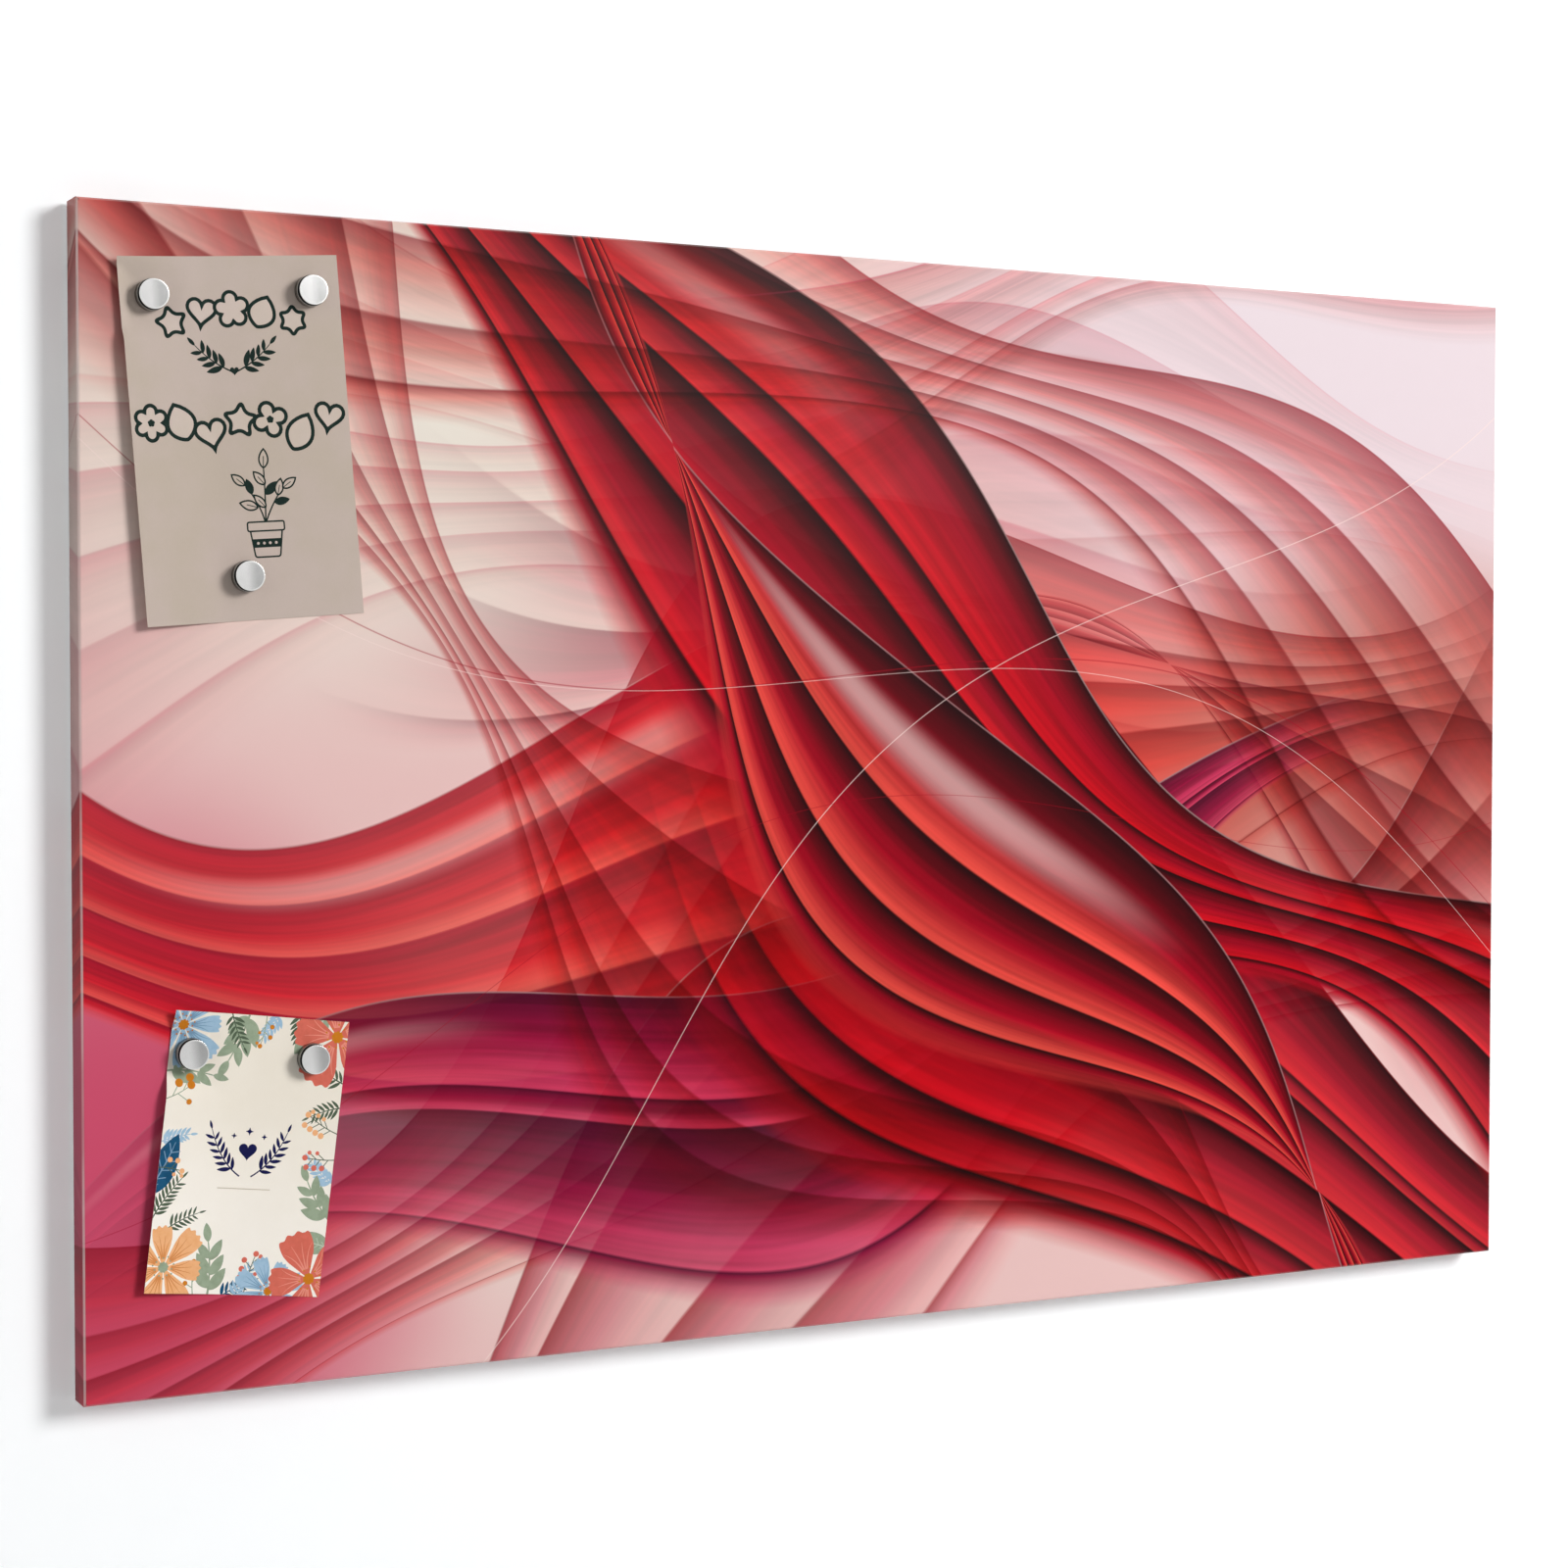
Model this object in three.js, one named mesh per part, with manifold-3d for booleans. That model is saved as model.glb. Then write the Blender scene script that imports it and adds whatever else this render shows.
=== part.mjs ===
// Magnetic board: a folded steel tray with a printed skin, hung on keyhole plates, with two paper
// cards held to its face by five steel-capped disc magnets.
// Millimetres, X to the right, Y into the wall, Z up. The wall's surface is the plane y = 0, and the
// origin is the middle of the board on it.

import * as THREE from 'three';
import { mergeVertices } from 'three/addons/utils/BufferGeometryUtils.js';
import Module from 'manifold-3d';

const wasm = await Module();
wasm.setup();

// Board
const boardWidth = 900;
const boardHeight = 600;
const boardDepth = 19; // from the printed front to the back of the lips
const sheetThickness = 0.8;
const bendRadius = 1.3; // outside of every fold in the steel
const lipWidth = 18;
const cornerSeam = 0.4; // open mitre between two neighbouring sides
const filmThickness = 0.25;
const glueThickness = 0.05; // between the film and the steel

// Wall pads
const wallPadDiameter = 12;
const wallPadThickness = 2;
const wallPadEdgeRound = 0.5;
const wallPadFromCorner = 36; // along the upright lips

// Corner hanger plates
const hangerLeg = 84;
const hangerToe = 25; // width of the plate where each leg ends
const hangerThickness = 1.2;
const hangerWallClearance = 0.6;
const keyholeInset = 42; // head hole from the two outer sides
const keyholeHeadDiameter = 11;
const keyholeSlotWidth = 6;
const keyholeSlotLength = 11; // from the head hole's centre to the slot's end centre

// Rivets
const rivetShankDiameter = 3.2;
const rivetHoleClearance = 0.3; // each side
const rivetHeadDiameter = 6.4;
const rivetHeadHeight = 1;
const rivetTailDiameter = 5;
const rivetTailHeight = 1.6;
const rivetFromToe = 14;

// Stiffener rails and the tape under them
const railPlaceShare = 0.2; // of the board's width, from its middle to a rail's centre line
const railFlangeWidth = 12;
const railCrownWidth = 22;
const railBackClearance = 4.1; // from the crown to the inside of the lips
const railThickness = 0.8;
const railEndClearance = 30; // to the inside of the top and bottom sides
const tapeThickness = 1;
const tapeWidth = 9;

// Magnets
const magnetDiameter = 16;
const capHeight = 7.3;
const capWall = 1.6;
const capFaceThickness = 2;
const capChamfer = 0.45;
const grooveFromFace = 0.9;
const grooveWidth = 2.2;
const grooveDepth = 0.6;
const coreClearance = 0.25;
const basePadThickness = 0.5;
const basePadInset = 0.5;
const restClearance = 0.1; // between pieces that only rest on each other

// Cards: sizes, places from the board's nearest corner, turns in degrees, and how far the free left
// edge lifts
const cardThickness = 0.3;
const tallCardWidth = 115;
const tallCardHeight = 183.5;
const tallCardFromLeft = 25.8;
const tallCardFromTop = 24;
const tallCardTurn = 4.4;
const tallCardLift = 5.6;
const smallCardWidth = 93;
const smallCardHeight = 142.5;
const smallCardFromLeft = 37.6;
const smallCardFromBottom = 49.2;
const smallCardTurn = -7;
const smallCardLift = 4.8;
const cardCurlWidth = 46; // how far the lifted edge's curl reaches into the card
const cardHoldFade = 15; // how fast a magnet's hold on the card gives way
const cardCell = 13; // longest side of a facet of the curled card

// Magnets' places as shares of their card's width and height, from its lower left corner
const tallCardMagnetShares = [[0.143, 0.896], [0.861, 0.9], [0.47, 0.122]];
const smallCardMagnetShares = [[0.118, 0.849], [0.804, 0.861]];

// Facets
const bendSteps = 4;
const roundSides = 24;
const smallRoundSides = 16;
const cutOverrun = 1;

// Planes across the depth of the board
const lipBack = -wallPadThickness;
const filmFront = lipBack - boardDepth;
const steelFront = filmFront + filmThickness + glueThickness;
const steelInside = steelFront + sheetThickness;
const lipInside = lipBack - sheetThickness;
const steelInset = filmThickness + glueThickness; // steel's outer sides from the film's

const steelMaterial = { color: 0xd9dadb, roughness: 0.4, metalness: 0.9 };
const galvanisedMaterial = { color: 0xb4b8bb, roughness: 0.45, metalness: 0.9 };
const rivetMaterial = { color: 0xc7c9cb, roughness: 0.35, metalness: 0.95 };
const filmMaterial = { color: 0xb5334a, roughness: 0.25, metalness: 0 };
const padMaterial = { color: 0x222324, roughness: 0.8, metalness: 0 };
const tapeMaterial = { color: 0xe9e9e4, roughness: 0.9, metalness: 0 };
const capMaterial = { color: 0xc9cac8, roughness: 0.3, metalness: 1 };
const coreMaterial = { color: 0x8f9294, roughness: 0.35, metalness: 1 };
const tallCardMaterial = { color: 0xc7b6a8, roughness: 0.85, metalness: 0 };
const smallCardMaterial = { color: 0xf1e9dc, roughness: 0.8, metalness: 0 };

const board = new THREE.Group();
board.name = 'magnetic_board';

// One closed, welded surface without collapsed triangles
function weld(geometry) {
  const plain = geometry.clone();
  plain.deleteAttribute('normal');
  plain.deleteAttribute('uv');
  const merged = mergeVertices(plain);
  const index = merged.index.array;
  const kept = [];
  for (let i = 0; i < index.length; i += 3) {
    const [a, b, c] = index.slice(i, i + 3);
    if (a !== b && b !== c && c !== a) kept.push(a, b, c);
  }
  merged.setIndex(kept);
  return merged;
}

function toSolid(geometry) {
  const welded = weld(geometry);
  return new wasm.Manifold(new wasm.Mesh({
    numProp: 3,
    vertProperties: Float32Array.from(welded.attributes.position.array),
    triVerts: Uint32Array.from(welded.index.array),
  }));
}

function toGeometry(manifold) {
  const mesh = manifold.getMesh();
  const geometry = new THREE.BufferGeometry();
  geometry.setAttribute('position', new THREE.BufferAttribute(mesh.vertProperties, mesh.numProp));
  geometry.setIndex(new THREE.BufferAttribute(mesh.triVerts, 1));
  return geometry;
}

function addPiece(parent, name, geometry, material) {
  const mesh = new THREE.Mesh(geometry, new THREE.MeshStandardMaterial(material));
  mesh.name = name;
  parent.add(mesh);
  return mesh;
}

// A box given by its lowest and highest corners
function boxBetween(low, high) {
  const size = high.clone().sub(low);
  const box = new THREE.BoxGeometry(size.x, size.y, size.z);
  const middle = low.clone().add(high).multiplyScalar(0.5);
  return box.translate(middle.x, middle.y, middle.z);
}

// An outline drawn in X and Z, pushed out along Y from one plane to another
function plate(shape, fromY, toY) {
  const geometry = new THREE.ExtrudeGeometry(shape, { depth: toY - fromY, bevelEnabled: false });
  geometry.rotateX(Math.PI / 2);
  return geometry.translate(0, toY, 0);
}

// Points of an arc about a centre, first and last included
function arc(centre, radius, fromAngle, toAngle, steps) {
  return Array.from({ length: steps + 1 }, (_, i) => {
    const angle = fromAngle + ((toAngle - fromAngle) * i) / steps;
    return [centre[0] + radius * Math.cos(angle), centre[1] + radius * Math.sin(angle)];
  });
}

// A folded side: its section, points of [inward, y], runs along one edge of the board and is mitred at
// both ends. The four sides are the same strip turned a quarter each time.
function mitredStrip(outline, side) {
  const flat = outline.map(([inward, y]) => new THREE.Vector2(inward, y));
  if (THREE.ShapeUtils.isClockWise(flat)) flat.reverse();
  const along = side % 2 === 0 ? boardWidth : boardHeight;
  const across = side % 2 === 0 ? boardHeight : boardWidth;
  const place = (a, inward, y) => {
    const out = across / 2 - inward;
    return [[a, y, out], [out, y, -a], [-a, y, -out], [-out, y, a]][side];
  };
  const vertices = [];
  for (const end of [-1, 1]) {
    for (const point of flat) {
      const a = end * (along / 2 - point.x - cornerSeam / 2);
      vertices.push(...place(a, point.x, point.y));
    }
  }
  const count = flat.length;
  const index = [];
  for (const [a, b, c] of THREE.ShapeUtils.triangulateShape(flat, [])) {
    index.push(c, b, a);
    index.push(a + count, b + count, c + count);
  }
  for (let i = 0; i < count; i += 1) {
    const next = (i + 1) % count;
    index.push(i, next, next + count);
    index.push(i, next + count, i + count);
  }
  const geometry = new THREE.BufferGeometry();
  geometry.setAttribute('position', new THREE.Float32BufferAttribute(vertices, 3));
  geometry.setIndex(index);
  return geometry;
}

// A sheet that covers the front between the four folds
function frontSheet(inset, frontY, backY) {
  const halfWidth = boardWidth / 2 - inset;
  const halfHeight = boardHeight / 2 - inset;
  return boxBetween(
    new THREE.Vector3(-halfWidth, frontY, -halfHeight),
    new THREE.Vector3(halfWidth, backY, halfHeight),
  );
}

// Front sheet and the four folded sides joined into one piece
function foldedSheet(section, inset, frontY, backY) {
  let solid = toSolid(frontSheet(inset, frontY, backY));
  for (let side = 0; side < 4; side += 1) solid = solid.add(toSolid(mitredStrip(section, side)));
  return solid;
}

// Corners of the board, from the middle: [sign of x, sign of z, name]
const corners = [[-1, 1, 'top_left'], [1, 1, 'top_right'], [1, -1, 'bottom_right'], [-1, -1, 'bottom_left']];

// A place counted inwards from the two outer sides at a corner
function fromCorner(corner, fromSide, fromEnd) {
  return new THREE.Vector2(
    corner[0] * (boardWidth / 2 - fromSide),
    corner[1] * (boardHeight / 2 - fromEnd),
  );
}

// Rivet places: one on the upright lip and one on the level lip at each corner
const lipMiddle = steelInset + lipWidth / 2;
const rivetAlong = hangerLeg - rivetFromToe;
const rivetPlaces = (corner) => [
  fromCorner(corner, lipMiddle, rivetAlong),
  fromCorner(corner, rivetAlong, lipMiddle),
];

function roundCutter(place, radius, fromY, toY) {
  const length = toY - fromY + 2 * cutOverrun;
  const cylinder = new THREE.CylinderGeometry(radius, radius, length, smallRoundSides);
  return toSolid(cylinder.translate(place.x, (fromY + toY) / 2, place.y));
}

const rivetHoleRadius = rivetShankDiameter / 2 + rivetHoleClearance;

// Steel tray
function makeTray() {
  const bendMiddle = steelInset + bendRadius;
  const innerBend = bendRadius - sheetThickness;
  const frontMiddle = [bendMiddle, steelFront + bendRadius];
  const backMiddle = [bendMiddle, lipBack - bendRadius];
  const lap = bendMiddle + bendRadius; // the strip laps the front sheet by one bend radius
  const half = Math.PI / 2;
  const section = [
    [lap, steelFront],
    ...arc(frontMiddle, bendRadius, -half, -Math.PI, bendSteps),
    ...arc(backMiddle, bendRadius, Math.PI, half, bendSteps),
    [steelInset + lipWidth, lipBack],
    [steelInset + lipWidth, lipInside],
    ...arc(backMiddle, innerBend, half, Math.PI, bendSteps),
    ...arc(frontMiddle, innerBend, -Math.PI, -half, bendSteps),
    [lap, steelInside],
  ];
  let solid = foldedSheet(section, bendMiddle, steelFront, steelInside);
  for (const corner of corners) {
    for (const place of rivetPlaces(corner)) {
      solid = solid.subtract(roundCutter(place, rivetHoleRadius, lipInside, lipBack));
    }
  }
  addPiece(board, 'steel_tray', toGeometry(solid), steelMaterial);
}

// Printed film: covers the front, the front bends and the sides up to the back bends
function makeFilm() {
  const bendMiddle = steelInset + bendRadius;
  const frontMiddle = [bendMiddle, steelFront + bendRadius];
  const outerBend = bendRadius + steelInset;
  const innerBend = bendRadius + glueThickness;
  const lap = bendMiddle + bendRadius;
  const sideEnd = lipBack - bendRadius;
  const half = Math.PI / 2;
  const section = [
    [lap, filmFront],
    ...arc(frontMiddle, outerBend, -half, -Math.PI, bendSteps),
    [0, sideEnd],
    [filmThickness, sideEnd],
    ...arc(frontMiddle, innerBend, -Math.PI, -half, bendSteps),
    [lap, filmFront + filmThickness],
  ];
  const solid = foldedSheet(section, bendMiddle, filmFront, filmFront + filmThickness);
  addPiece(board, 'print_film', toGeometry(solid), filmMaterial);
}

// Corner hanger plate: a gusset behind two lips, with a head hole and a slot for either way up
function makeHanger(corner) {
  const near = steelInset + sheetThickness + hangerWallClearance;
  const outline = [
    [near, near], [hangerLeg, near], [hangerLeg, hangerToe], [hangerToe, hangerLeg], [near, hangerLeg],
  ].map(([fromSide, fromEnd]) => fromCorner(corner, fromSide, fromEnd));
  const shape = new THREE.Shape(outline);
  const front = lipInside - hangerThickness;
  let solid = toSolid(plate(shape, front, lipInside));
  const head = fromCorner(corner, keyholeInset, keyholeInset);
  solid = solid.subtract(roundCutter(head, keyholeHeadDiameter / 2, front, lipInside));
  const slotEnd = keyholeInset - keyholeSlotLength;
  const slots = [fromCorner(corner, keyholeInset, slotEnd), fromCorner(corner, slotEnd, keyholeInset)];
  for (const end of slots) {
    const half = keyholeSlotWidth / 2;
    const upright = end.x === head.x;
    const wide = new THREE.Vector2(upright ? half : 0, upright ? 0 : half);
    const low = new THREE.Vector2(Math.min(head.x, end.x), Math.min(head.y, end.y)).sub(wide);
    const high = new THREE.Vector2(Math.max(head.x, end.x), Math.max(head.y, end.y)).add(wide);
    solid = solid.subtract(toSolid(boxBetween(
      new THREE.Vector3(low.x, front - cutOverrun, low.y),
      new THREE.Vector3(high.x, lipInside + cutOverrun, high.y),
    )));
    solid = solid.subtract(roundCutter(end, half, front, lipInside));
  }
  for (const place of rivetPlaces(corner)) {
    solid = solid.subtract(roundCutter(place, rivetHoleRadius, front, lipInside));
  }
  addPiece(board, `hanger_plate_${corner[2]}`, toGeometry(solid), galvanisedMaterial);
}

// Rivet: a domed head behind the lip, a shank, and an upset tail in front of the hanger plate
function makeRivets(corner) {
  const headRadius = rivetHeadDiameter / 2;
  const shankRadius = rivetShankDiameter / 2;
  const tailRadius = rivetTailDiameter / 2;
  const seat = lipInside - hangerThickness;
  const profile = [
    new THREE.Vector2(0, seat - rivetTailHeight),
    new THREE.Vector2(shankRadius, seat - rivetTailHeight),
    new THREE.Vector2(tailRadius, seat - rivetTailHeight / 2),
    new THREE.Vector2(tailRadius, seat),
    new THREE.Vector2(shankRadius, seat),
    new THREE.Vector2(shankRadius, lipBack),
    new THREE.Vector2(headRadius, lipBack),
    new THREE.Vector2(headRadius, lipBack + rivetHeadHeight / 3),
    new THREE.Vector2(shankRadius, lipBack + rivetHeadHeight),
    new THREE.Vector2(0, lipBack + rivetHeadHeight),
  ];
  rivetPlaces(corner).forEach((place, i) => {
    const geometry = weld(new THREE.LatheGeometry(profile, smallRoundSides));
    const piece = addPiece(board, `rivet_${corner[2]}_${i + 1}`, geometry, rivetMaterial);
    piece.position.set(place.x, 0, place.y);
  });
}

// Wall pad: a rubber disc on the upright lip, which meets the wall at y = 0
function makeWallPad(corner) {
  const radius = wallPadDiameter / 2;
  const profile = [
    new THREE.Vector2(0, lipBack),
    new THREE.Vector2(radius, lipBack),
    new THREE.Vector2(radius, -wallPadEdgeRound),
    new THREE.Vector2(radius - wallPadEdgeRound, 0),
    new THREE.Vector2(0, 0),
  ];
  const geometry = weld(new THREE.LatheGeometry(profile, smallRoundSides));
  const piece = addPiece(board, `wall_pad_${corner[2]}`, geometry, padMaterial);
  const place = fromCorner(corner, lipMiddle, wallPadFromCorner);
  piece.position.set(place.x, 0, place.y);
}

// Stiffener rail: a hat section that stands upright behind the face, on two strips of tape
function makeRail(sign, name) {
  const flangeFront = steelInside + tapeThickness;
  const flangeBack = flangeFront + railThickness;
  const crownBack = lipInside - railBackClearance;
  const halfCrown = railCrownWidth / 2;
  const halfRail = halfCrown + railFlangeWidth;
  const length = boardHeight - 2 * (steelInset + sheetThickness + railEndClearance);
  const railMiddle = sign * boardWidth * railPlaceShare;
  const half = [
    [halfRail, flangeFront], [halfRail, flangeBack], [halfCrown, flangeBack], [halfCrown, crownBack],
  ];
  const inner = [
    [halfCrown - railThickness, crownBack - railThickness], [halfCrown - railThickness, flangeFront],
  ];
  const mirror = (points) => points.map(([x, y]) => [-x, y]).reverse();
  const outline = [...half, ...mirror(half), ...mirror(inner), ...inner];
  const shape = new THREE.Shape(outline.map(([x, y]) => new THREE.Vector2(x, y)));
  const geometry = new THREE.ExtrudeGeometry(shape, { depth: length, bevelEnabled: false });
  geometry.translate(railMiddle, 0, -length / 2);
  addPiece(board, `stiffener_rail_${name}`, weld(geometry), galvanisedMaterial);
  for (const [side, sideName] of [[-1, 'outer'], [1, 'inner']]) {
    const middle = railMiddle - sign * side * (halfCrown + railFlangeWidth / 2);
    const tape = boxBetween(
      new THREE.Vector3(middle - tapeWidth / 2, steelInside, -length / 2),
      new THREE.Vector3(middle + tapeWidth / 2, flangeFront, length / 2),
    );
    addPiece(board, `rail_tape_${name}_${sideName}`, weld(tape), tapeMaterial);
  }
}

// Magnet: turned steel cap with a groove, magnet disc in its recess, thin pad under its rim. It is made
// with its base at y = 0 and its face towards -Y.
function makeMagnet(group, name) {
  const radius = magnetDiameter / 2;
  const base = -basePadThickness;
  const face = base - capHeight;
  const recessRadius = radius - capWall;
  const recessTop = face + capFaceThickness;
  const grooveFront = face + grooveFromFace;
  const grooveBack = grooveFront + grooveWidth;
  const cap = [
    [0, face], [radius - capChamfer, face], [radius, face + capChamfer],
    [radius, grooveFront], [radius - grooveDepth, grooveFront],
    [radius - grooveDepth, grooveBack], [radius, grooveBack],
    [radius, base - capChamfer], [radius - capChamfer, base],
    [recessRadius, base], [recessRadius, recessTop], [0, recessTop],
  ];
  const coreRadius = recessRadius - coreClearance;
  const core = [
    [0, recessTop + coreClearance], [coreRadius, recessTop + coreClearance],
    [coreRadius, base], [0, base],
  ];
  const padRadius = radius - basePadInset;
  const pad = [[0, base], [padRadius, base], [padRadius, 0], [0, 0]];
  const turn = (points) => weld(new THREE.LatheGeometry(
    points.map(([r, y]) => new THREE.Vector2(r, y)), roundSides,
  ));
  addPiece(group, `${name}_cap`, turn(cap), capMaterial);
  addPiece(group, `${name}_core`, turn(core), coreMaterial);
  addPiece(group, `${name}_base_pad`, turn(pad), padMaterial);
}

// Even steps between the given stops, none longer than the longest facet
function stepsBetween(stops) {
  const sorted = [...stops].sort((a, b) => a - b);
  const lines = [sorted[0]];
  for (let i = 1; i < sorted.length; i += 1) {
    const span = sorted[i] - sorted[i - 1];
    const count = Math.max(1, Math.ceil(span / cardCell));
    for (let k = 1; k <= count; k += 1) lines.push(sorted[i - 1] + (span * k) / count);
  }
  return lines;
}

const smooth = (t) => t * t * (3 - 2 * t);
const unit = (t) => Math.min(1, Math.max(0, t));

// Card: thin paper that lies flat under its magnets and lifts along its left edge. u and v run across
// and up the card from its middle.
function makeCard({ name, width, height, lift, material }, magnets, group) {
  const seat = magnetDiameter / 2 + restClearance;
  const liftAt = (u, v) => {
    const curl = unit((cardCurlWidth - (u + width / 2)) / cardCurlWidth);
    const held = magnets.map(([mu, mv]) => {
      const away = Math.max(Math.abs(u - mu), Math.abs(v - mv)) - seat;
      return smooth(unit(away / cardHoldFade));
    });
    return lift * curl ** 1.5 * Math.min(...held);
  };
  const edges = (half, places) => [-half, half, ...places.flatMap((p) => [p - seat, p + seat])];
  const us = stepsBetween(edges(width / 2, magnets.map((m) => m[0])));
  const vs = stepsBetween(edges(height / 2, magnets.map((m) => m[1])));
  const vertices = [];
  for (const depth of [0, cardThickness]) {
    for (const v of vs) for (const u of us) vertices.push(u, -restClearance - liftAt(u, v) - depth, v);
  }
  const across = us.length;
  const sheet = across * vs.length;
  const index = [];
  const quad = (a, b, c, d) => index.push(a, b, c, a, c, d);
  for (let j = 0; j + 1 < vs.length; j += 1) {
    for (let i = 0; i + 1 < across; i += 1) {
      const at = j * across + i;
      quad(at, at + across, at + across + 1, at + 1);
      quad(sheet + at, sheet + at + 1, sheet + at + across + 1, sheet + at + across);
    }
  }
  const rim = [];
  for (let i = 0; i < across; i += 1) rim.push(i);
  for (let j = 1; j < vs.length; j += 1) rim.push(j * across + across - 1);
  for (let i = across - 2; i >= 0; i -= 1) rim.push((vs.length - 1) * across + i);
  for (let j = vs.length - 2; j > 0; j -= 1) rim.push(j * across);
  rim.forEach((at, i) => {
    const next = rim[(i + 1) % rim.length];
    quad(at, next, sheet + next, sheet + at);
  });
  const geometry = new THREE.BufferGeometry();
  geometry.setAttribute('position', new THREE.Float32BufferAttribute(vertices, 3));
  geometry.setIndex(index);
  addPiece(group, name, geometry, material);
}

// A card with the magnets that hold it, turned about Y and set on the printed face
function makePinnedCard(card) {
  const group = new THREE.Group();
  group.position.set(card.x, filmFront, card.z);
  group.rotation.y = -THREE.MathUtils.degToRad(card.turn);
  board.add(group);
  const places = card.magnetShares.map(([u, v]) => [(u - 0.5) * card.width, (v - 0.5) * card.height]);
  makeCard(card, places, group);
  places.forEach(([u, v], i) => {
    const magnet = new THREE.Group();
    magnet.position.set(u, -2 * restClearance - cardThickness, v);
    group.add(magnet);
    makeMagnet(magnet, `${card.name}_magnet_${i + 1}`);
  });
}

makeTray();
makeFilm();
for (const corner of corners) {
  makeHanger(corner);
  makeRivets(corner);
  makeWallPad(corner);
}
makeRail(-1, 'left');
makeRail(1, 'right');
makePinnedCard({
  name: 'tall_card',
  width: tallCardWidth,
  height: tallCardHeight,
  x: -boardWidth / 2 + tallCardFromLeft + tallCardWidth / 2,
  z: boardHeight / 2 - tallCardFromTop - tallCardHeight / 2,
  turn: tallCardTurn,
  lift: tallCardLift,
  magnetShares: tallCardMagnetShares,
  material: tallCardMaterial,
});
makePinnedCard({
  name: 'small_card',
  width: smallCardWidth,
  height: smallCardHeight,
  x: -boardWidth / 2 + smallCardFromLeft + smallCardWidth / 2,
  z: -boardHeight / 2 + smallCardFromBottom + smallCardHeight / 2,
  turn: smallCardTurn,
  lift: smallCardLift,
  magnetShares: smallCardMagnetShares,
  material: smallCardMaterial,
});

export default board;
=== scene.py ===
# Magnetic board hung flat on a wall: folded steel tray with a printed skin, corner hangers and
# stiffener rails behind, two paper cards held to its face by five disc magnets.
# Metres, X to the right, Y into the wall, Z up.
import math
import random
from collections import Counter

import bmesh
import bpy
import numpy as np
from mathutils import Matrix, Vector
from mathutils.geometry import delaunay_2d_cdt, tessellate_polygon


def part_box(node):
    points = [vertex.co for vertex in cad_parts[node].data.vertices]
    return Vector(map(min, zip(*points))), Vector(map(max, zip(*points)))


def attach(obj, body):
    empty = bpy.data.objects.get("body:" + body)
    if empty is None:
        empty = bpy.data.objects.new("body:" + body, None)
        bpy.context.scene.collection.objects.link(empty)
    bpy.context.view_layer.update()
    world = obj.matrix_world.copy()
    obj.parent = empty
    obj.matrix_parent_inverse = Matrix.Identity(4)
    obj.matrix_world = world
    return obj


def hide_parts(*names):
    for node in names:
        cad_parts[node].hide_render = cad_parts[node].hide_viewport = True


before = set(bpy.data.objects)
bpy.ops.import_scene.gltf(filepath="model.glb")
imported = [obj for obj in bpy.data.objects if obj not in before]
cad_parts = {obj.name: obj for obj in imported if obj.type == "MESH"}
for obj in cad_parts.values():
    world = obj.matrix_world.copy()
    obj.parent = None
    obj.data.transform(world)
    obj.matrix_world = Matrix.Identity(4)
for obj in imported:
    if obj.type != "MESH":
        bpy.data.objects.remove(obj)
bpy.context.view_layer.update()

mm = 0.001
corners = {"top_left": (-1, 1), "top_right": (1, 1), "bottom_right": (1, -1), "bottom_left": (-1, -1)}


# One socket of a node tree. Sums and products of wires write the maths nodes.
class Wire:
    def __init__(self, tree, socket=None):
        self.tree = tree
        self.socket = socket

    def node(self, kind, settings=None, inputs=None, output=0):
        made = self.tree.nodes.new("ShaderNode" + kind)
        for name, value in (settings or {}).items():
            if name == "stops":
                ramp = made.color_ramp
                ramp.elements.remove(ramp.elements[-1])
                for place, tint in value[1:]:
                    ramp.elements.new(place).color = tint
                ramp.elements[0].position, ramp.elements[0].color = value[0]
            else:
                setattr(made, name, value)
        for key, value in (inputs or {}).items():
            if isinstance(value, Wire):
                self.tree.links.new(value.socket, made.inputs[key])
            else:
                made.inputs[key].default_value = value
        return Wire(self.tree, made.outputs[output]) if len(made.outputs) else None

    def output(self, name):
        return Wire(self.tree, self.socket.node.outputs[name])

    def math(self, operation, *values):
        return self.node("Math", {"operation": operation}, dict(enumerate((self, *values))))

    def reflected(self, operation, other):
        return self.node("Math", {"operation": operation}, {0: other, 1: self})

    def __add__(self, other):
        return self.math("ADD", other)

    def __radd__(self, other):
        return self.reflected("ADD", other)

    def __sub__(self, other):
        return self.math("SUBTRACT", other)

    def __rsub__(self, other):
        return self.reflected("SUBTRACT", other)

    def __mul__(self, other):
        return self.math("MULTIPLY", other)

    def __rmul__(self, other):
        return self.reflected("MULTIPLY", other)

    def __truediv__(self, other):
        return self.math("DIVIDE", other)

    def __rtruediv__(self, other):
        return self.reflected("DIVIDE", other)

    def __pow__(self, other):
        return self.math("POWER", other)

    def __rpow__(self, other):
        return self.reflected("POWER", other)


def tone(hexCode, alpha=1.0):
    # a screen colour as the linear one that a socket takes
    channels = [int(hexCode[i:i + 2], 16) / 255 for i in (0, 2, 4)]
    return (*[c / 12.92 if c <= 0.04045 else ((c + 0.055) / 1.055) ** 2.4 for c in channels], alpha)


def smoothStep(value, low, high):
    return value.node("MapRange", {"interpolation_type": "SMOOTHSTEP"},
                      {"Value": value, "From Min": low, "From Max": high})


def remap(value, low, high, toLow, toHigh):
    return value.node("MapRange", {}, {"Value": value, "From Min": low, "From Max": high,
                                       "To Min": toLow, "To Max": toHigh})


def middling(value, toLow, toHigh):
    # the middle of a noise's range stretched between two levels
    return remap(value, 0.3, 0.7, toLow, toHigh)


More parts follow.
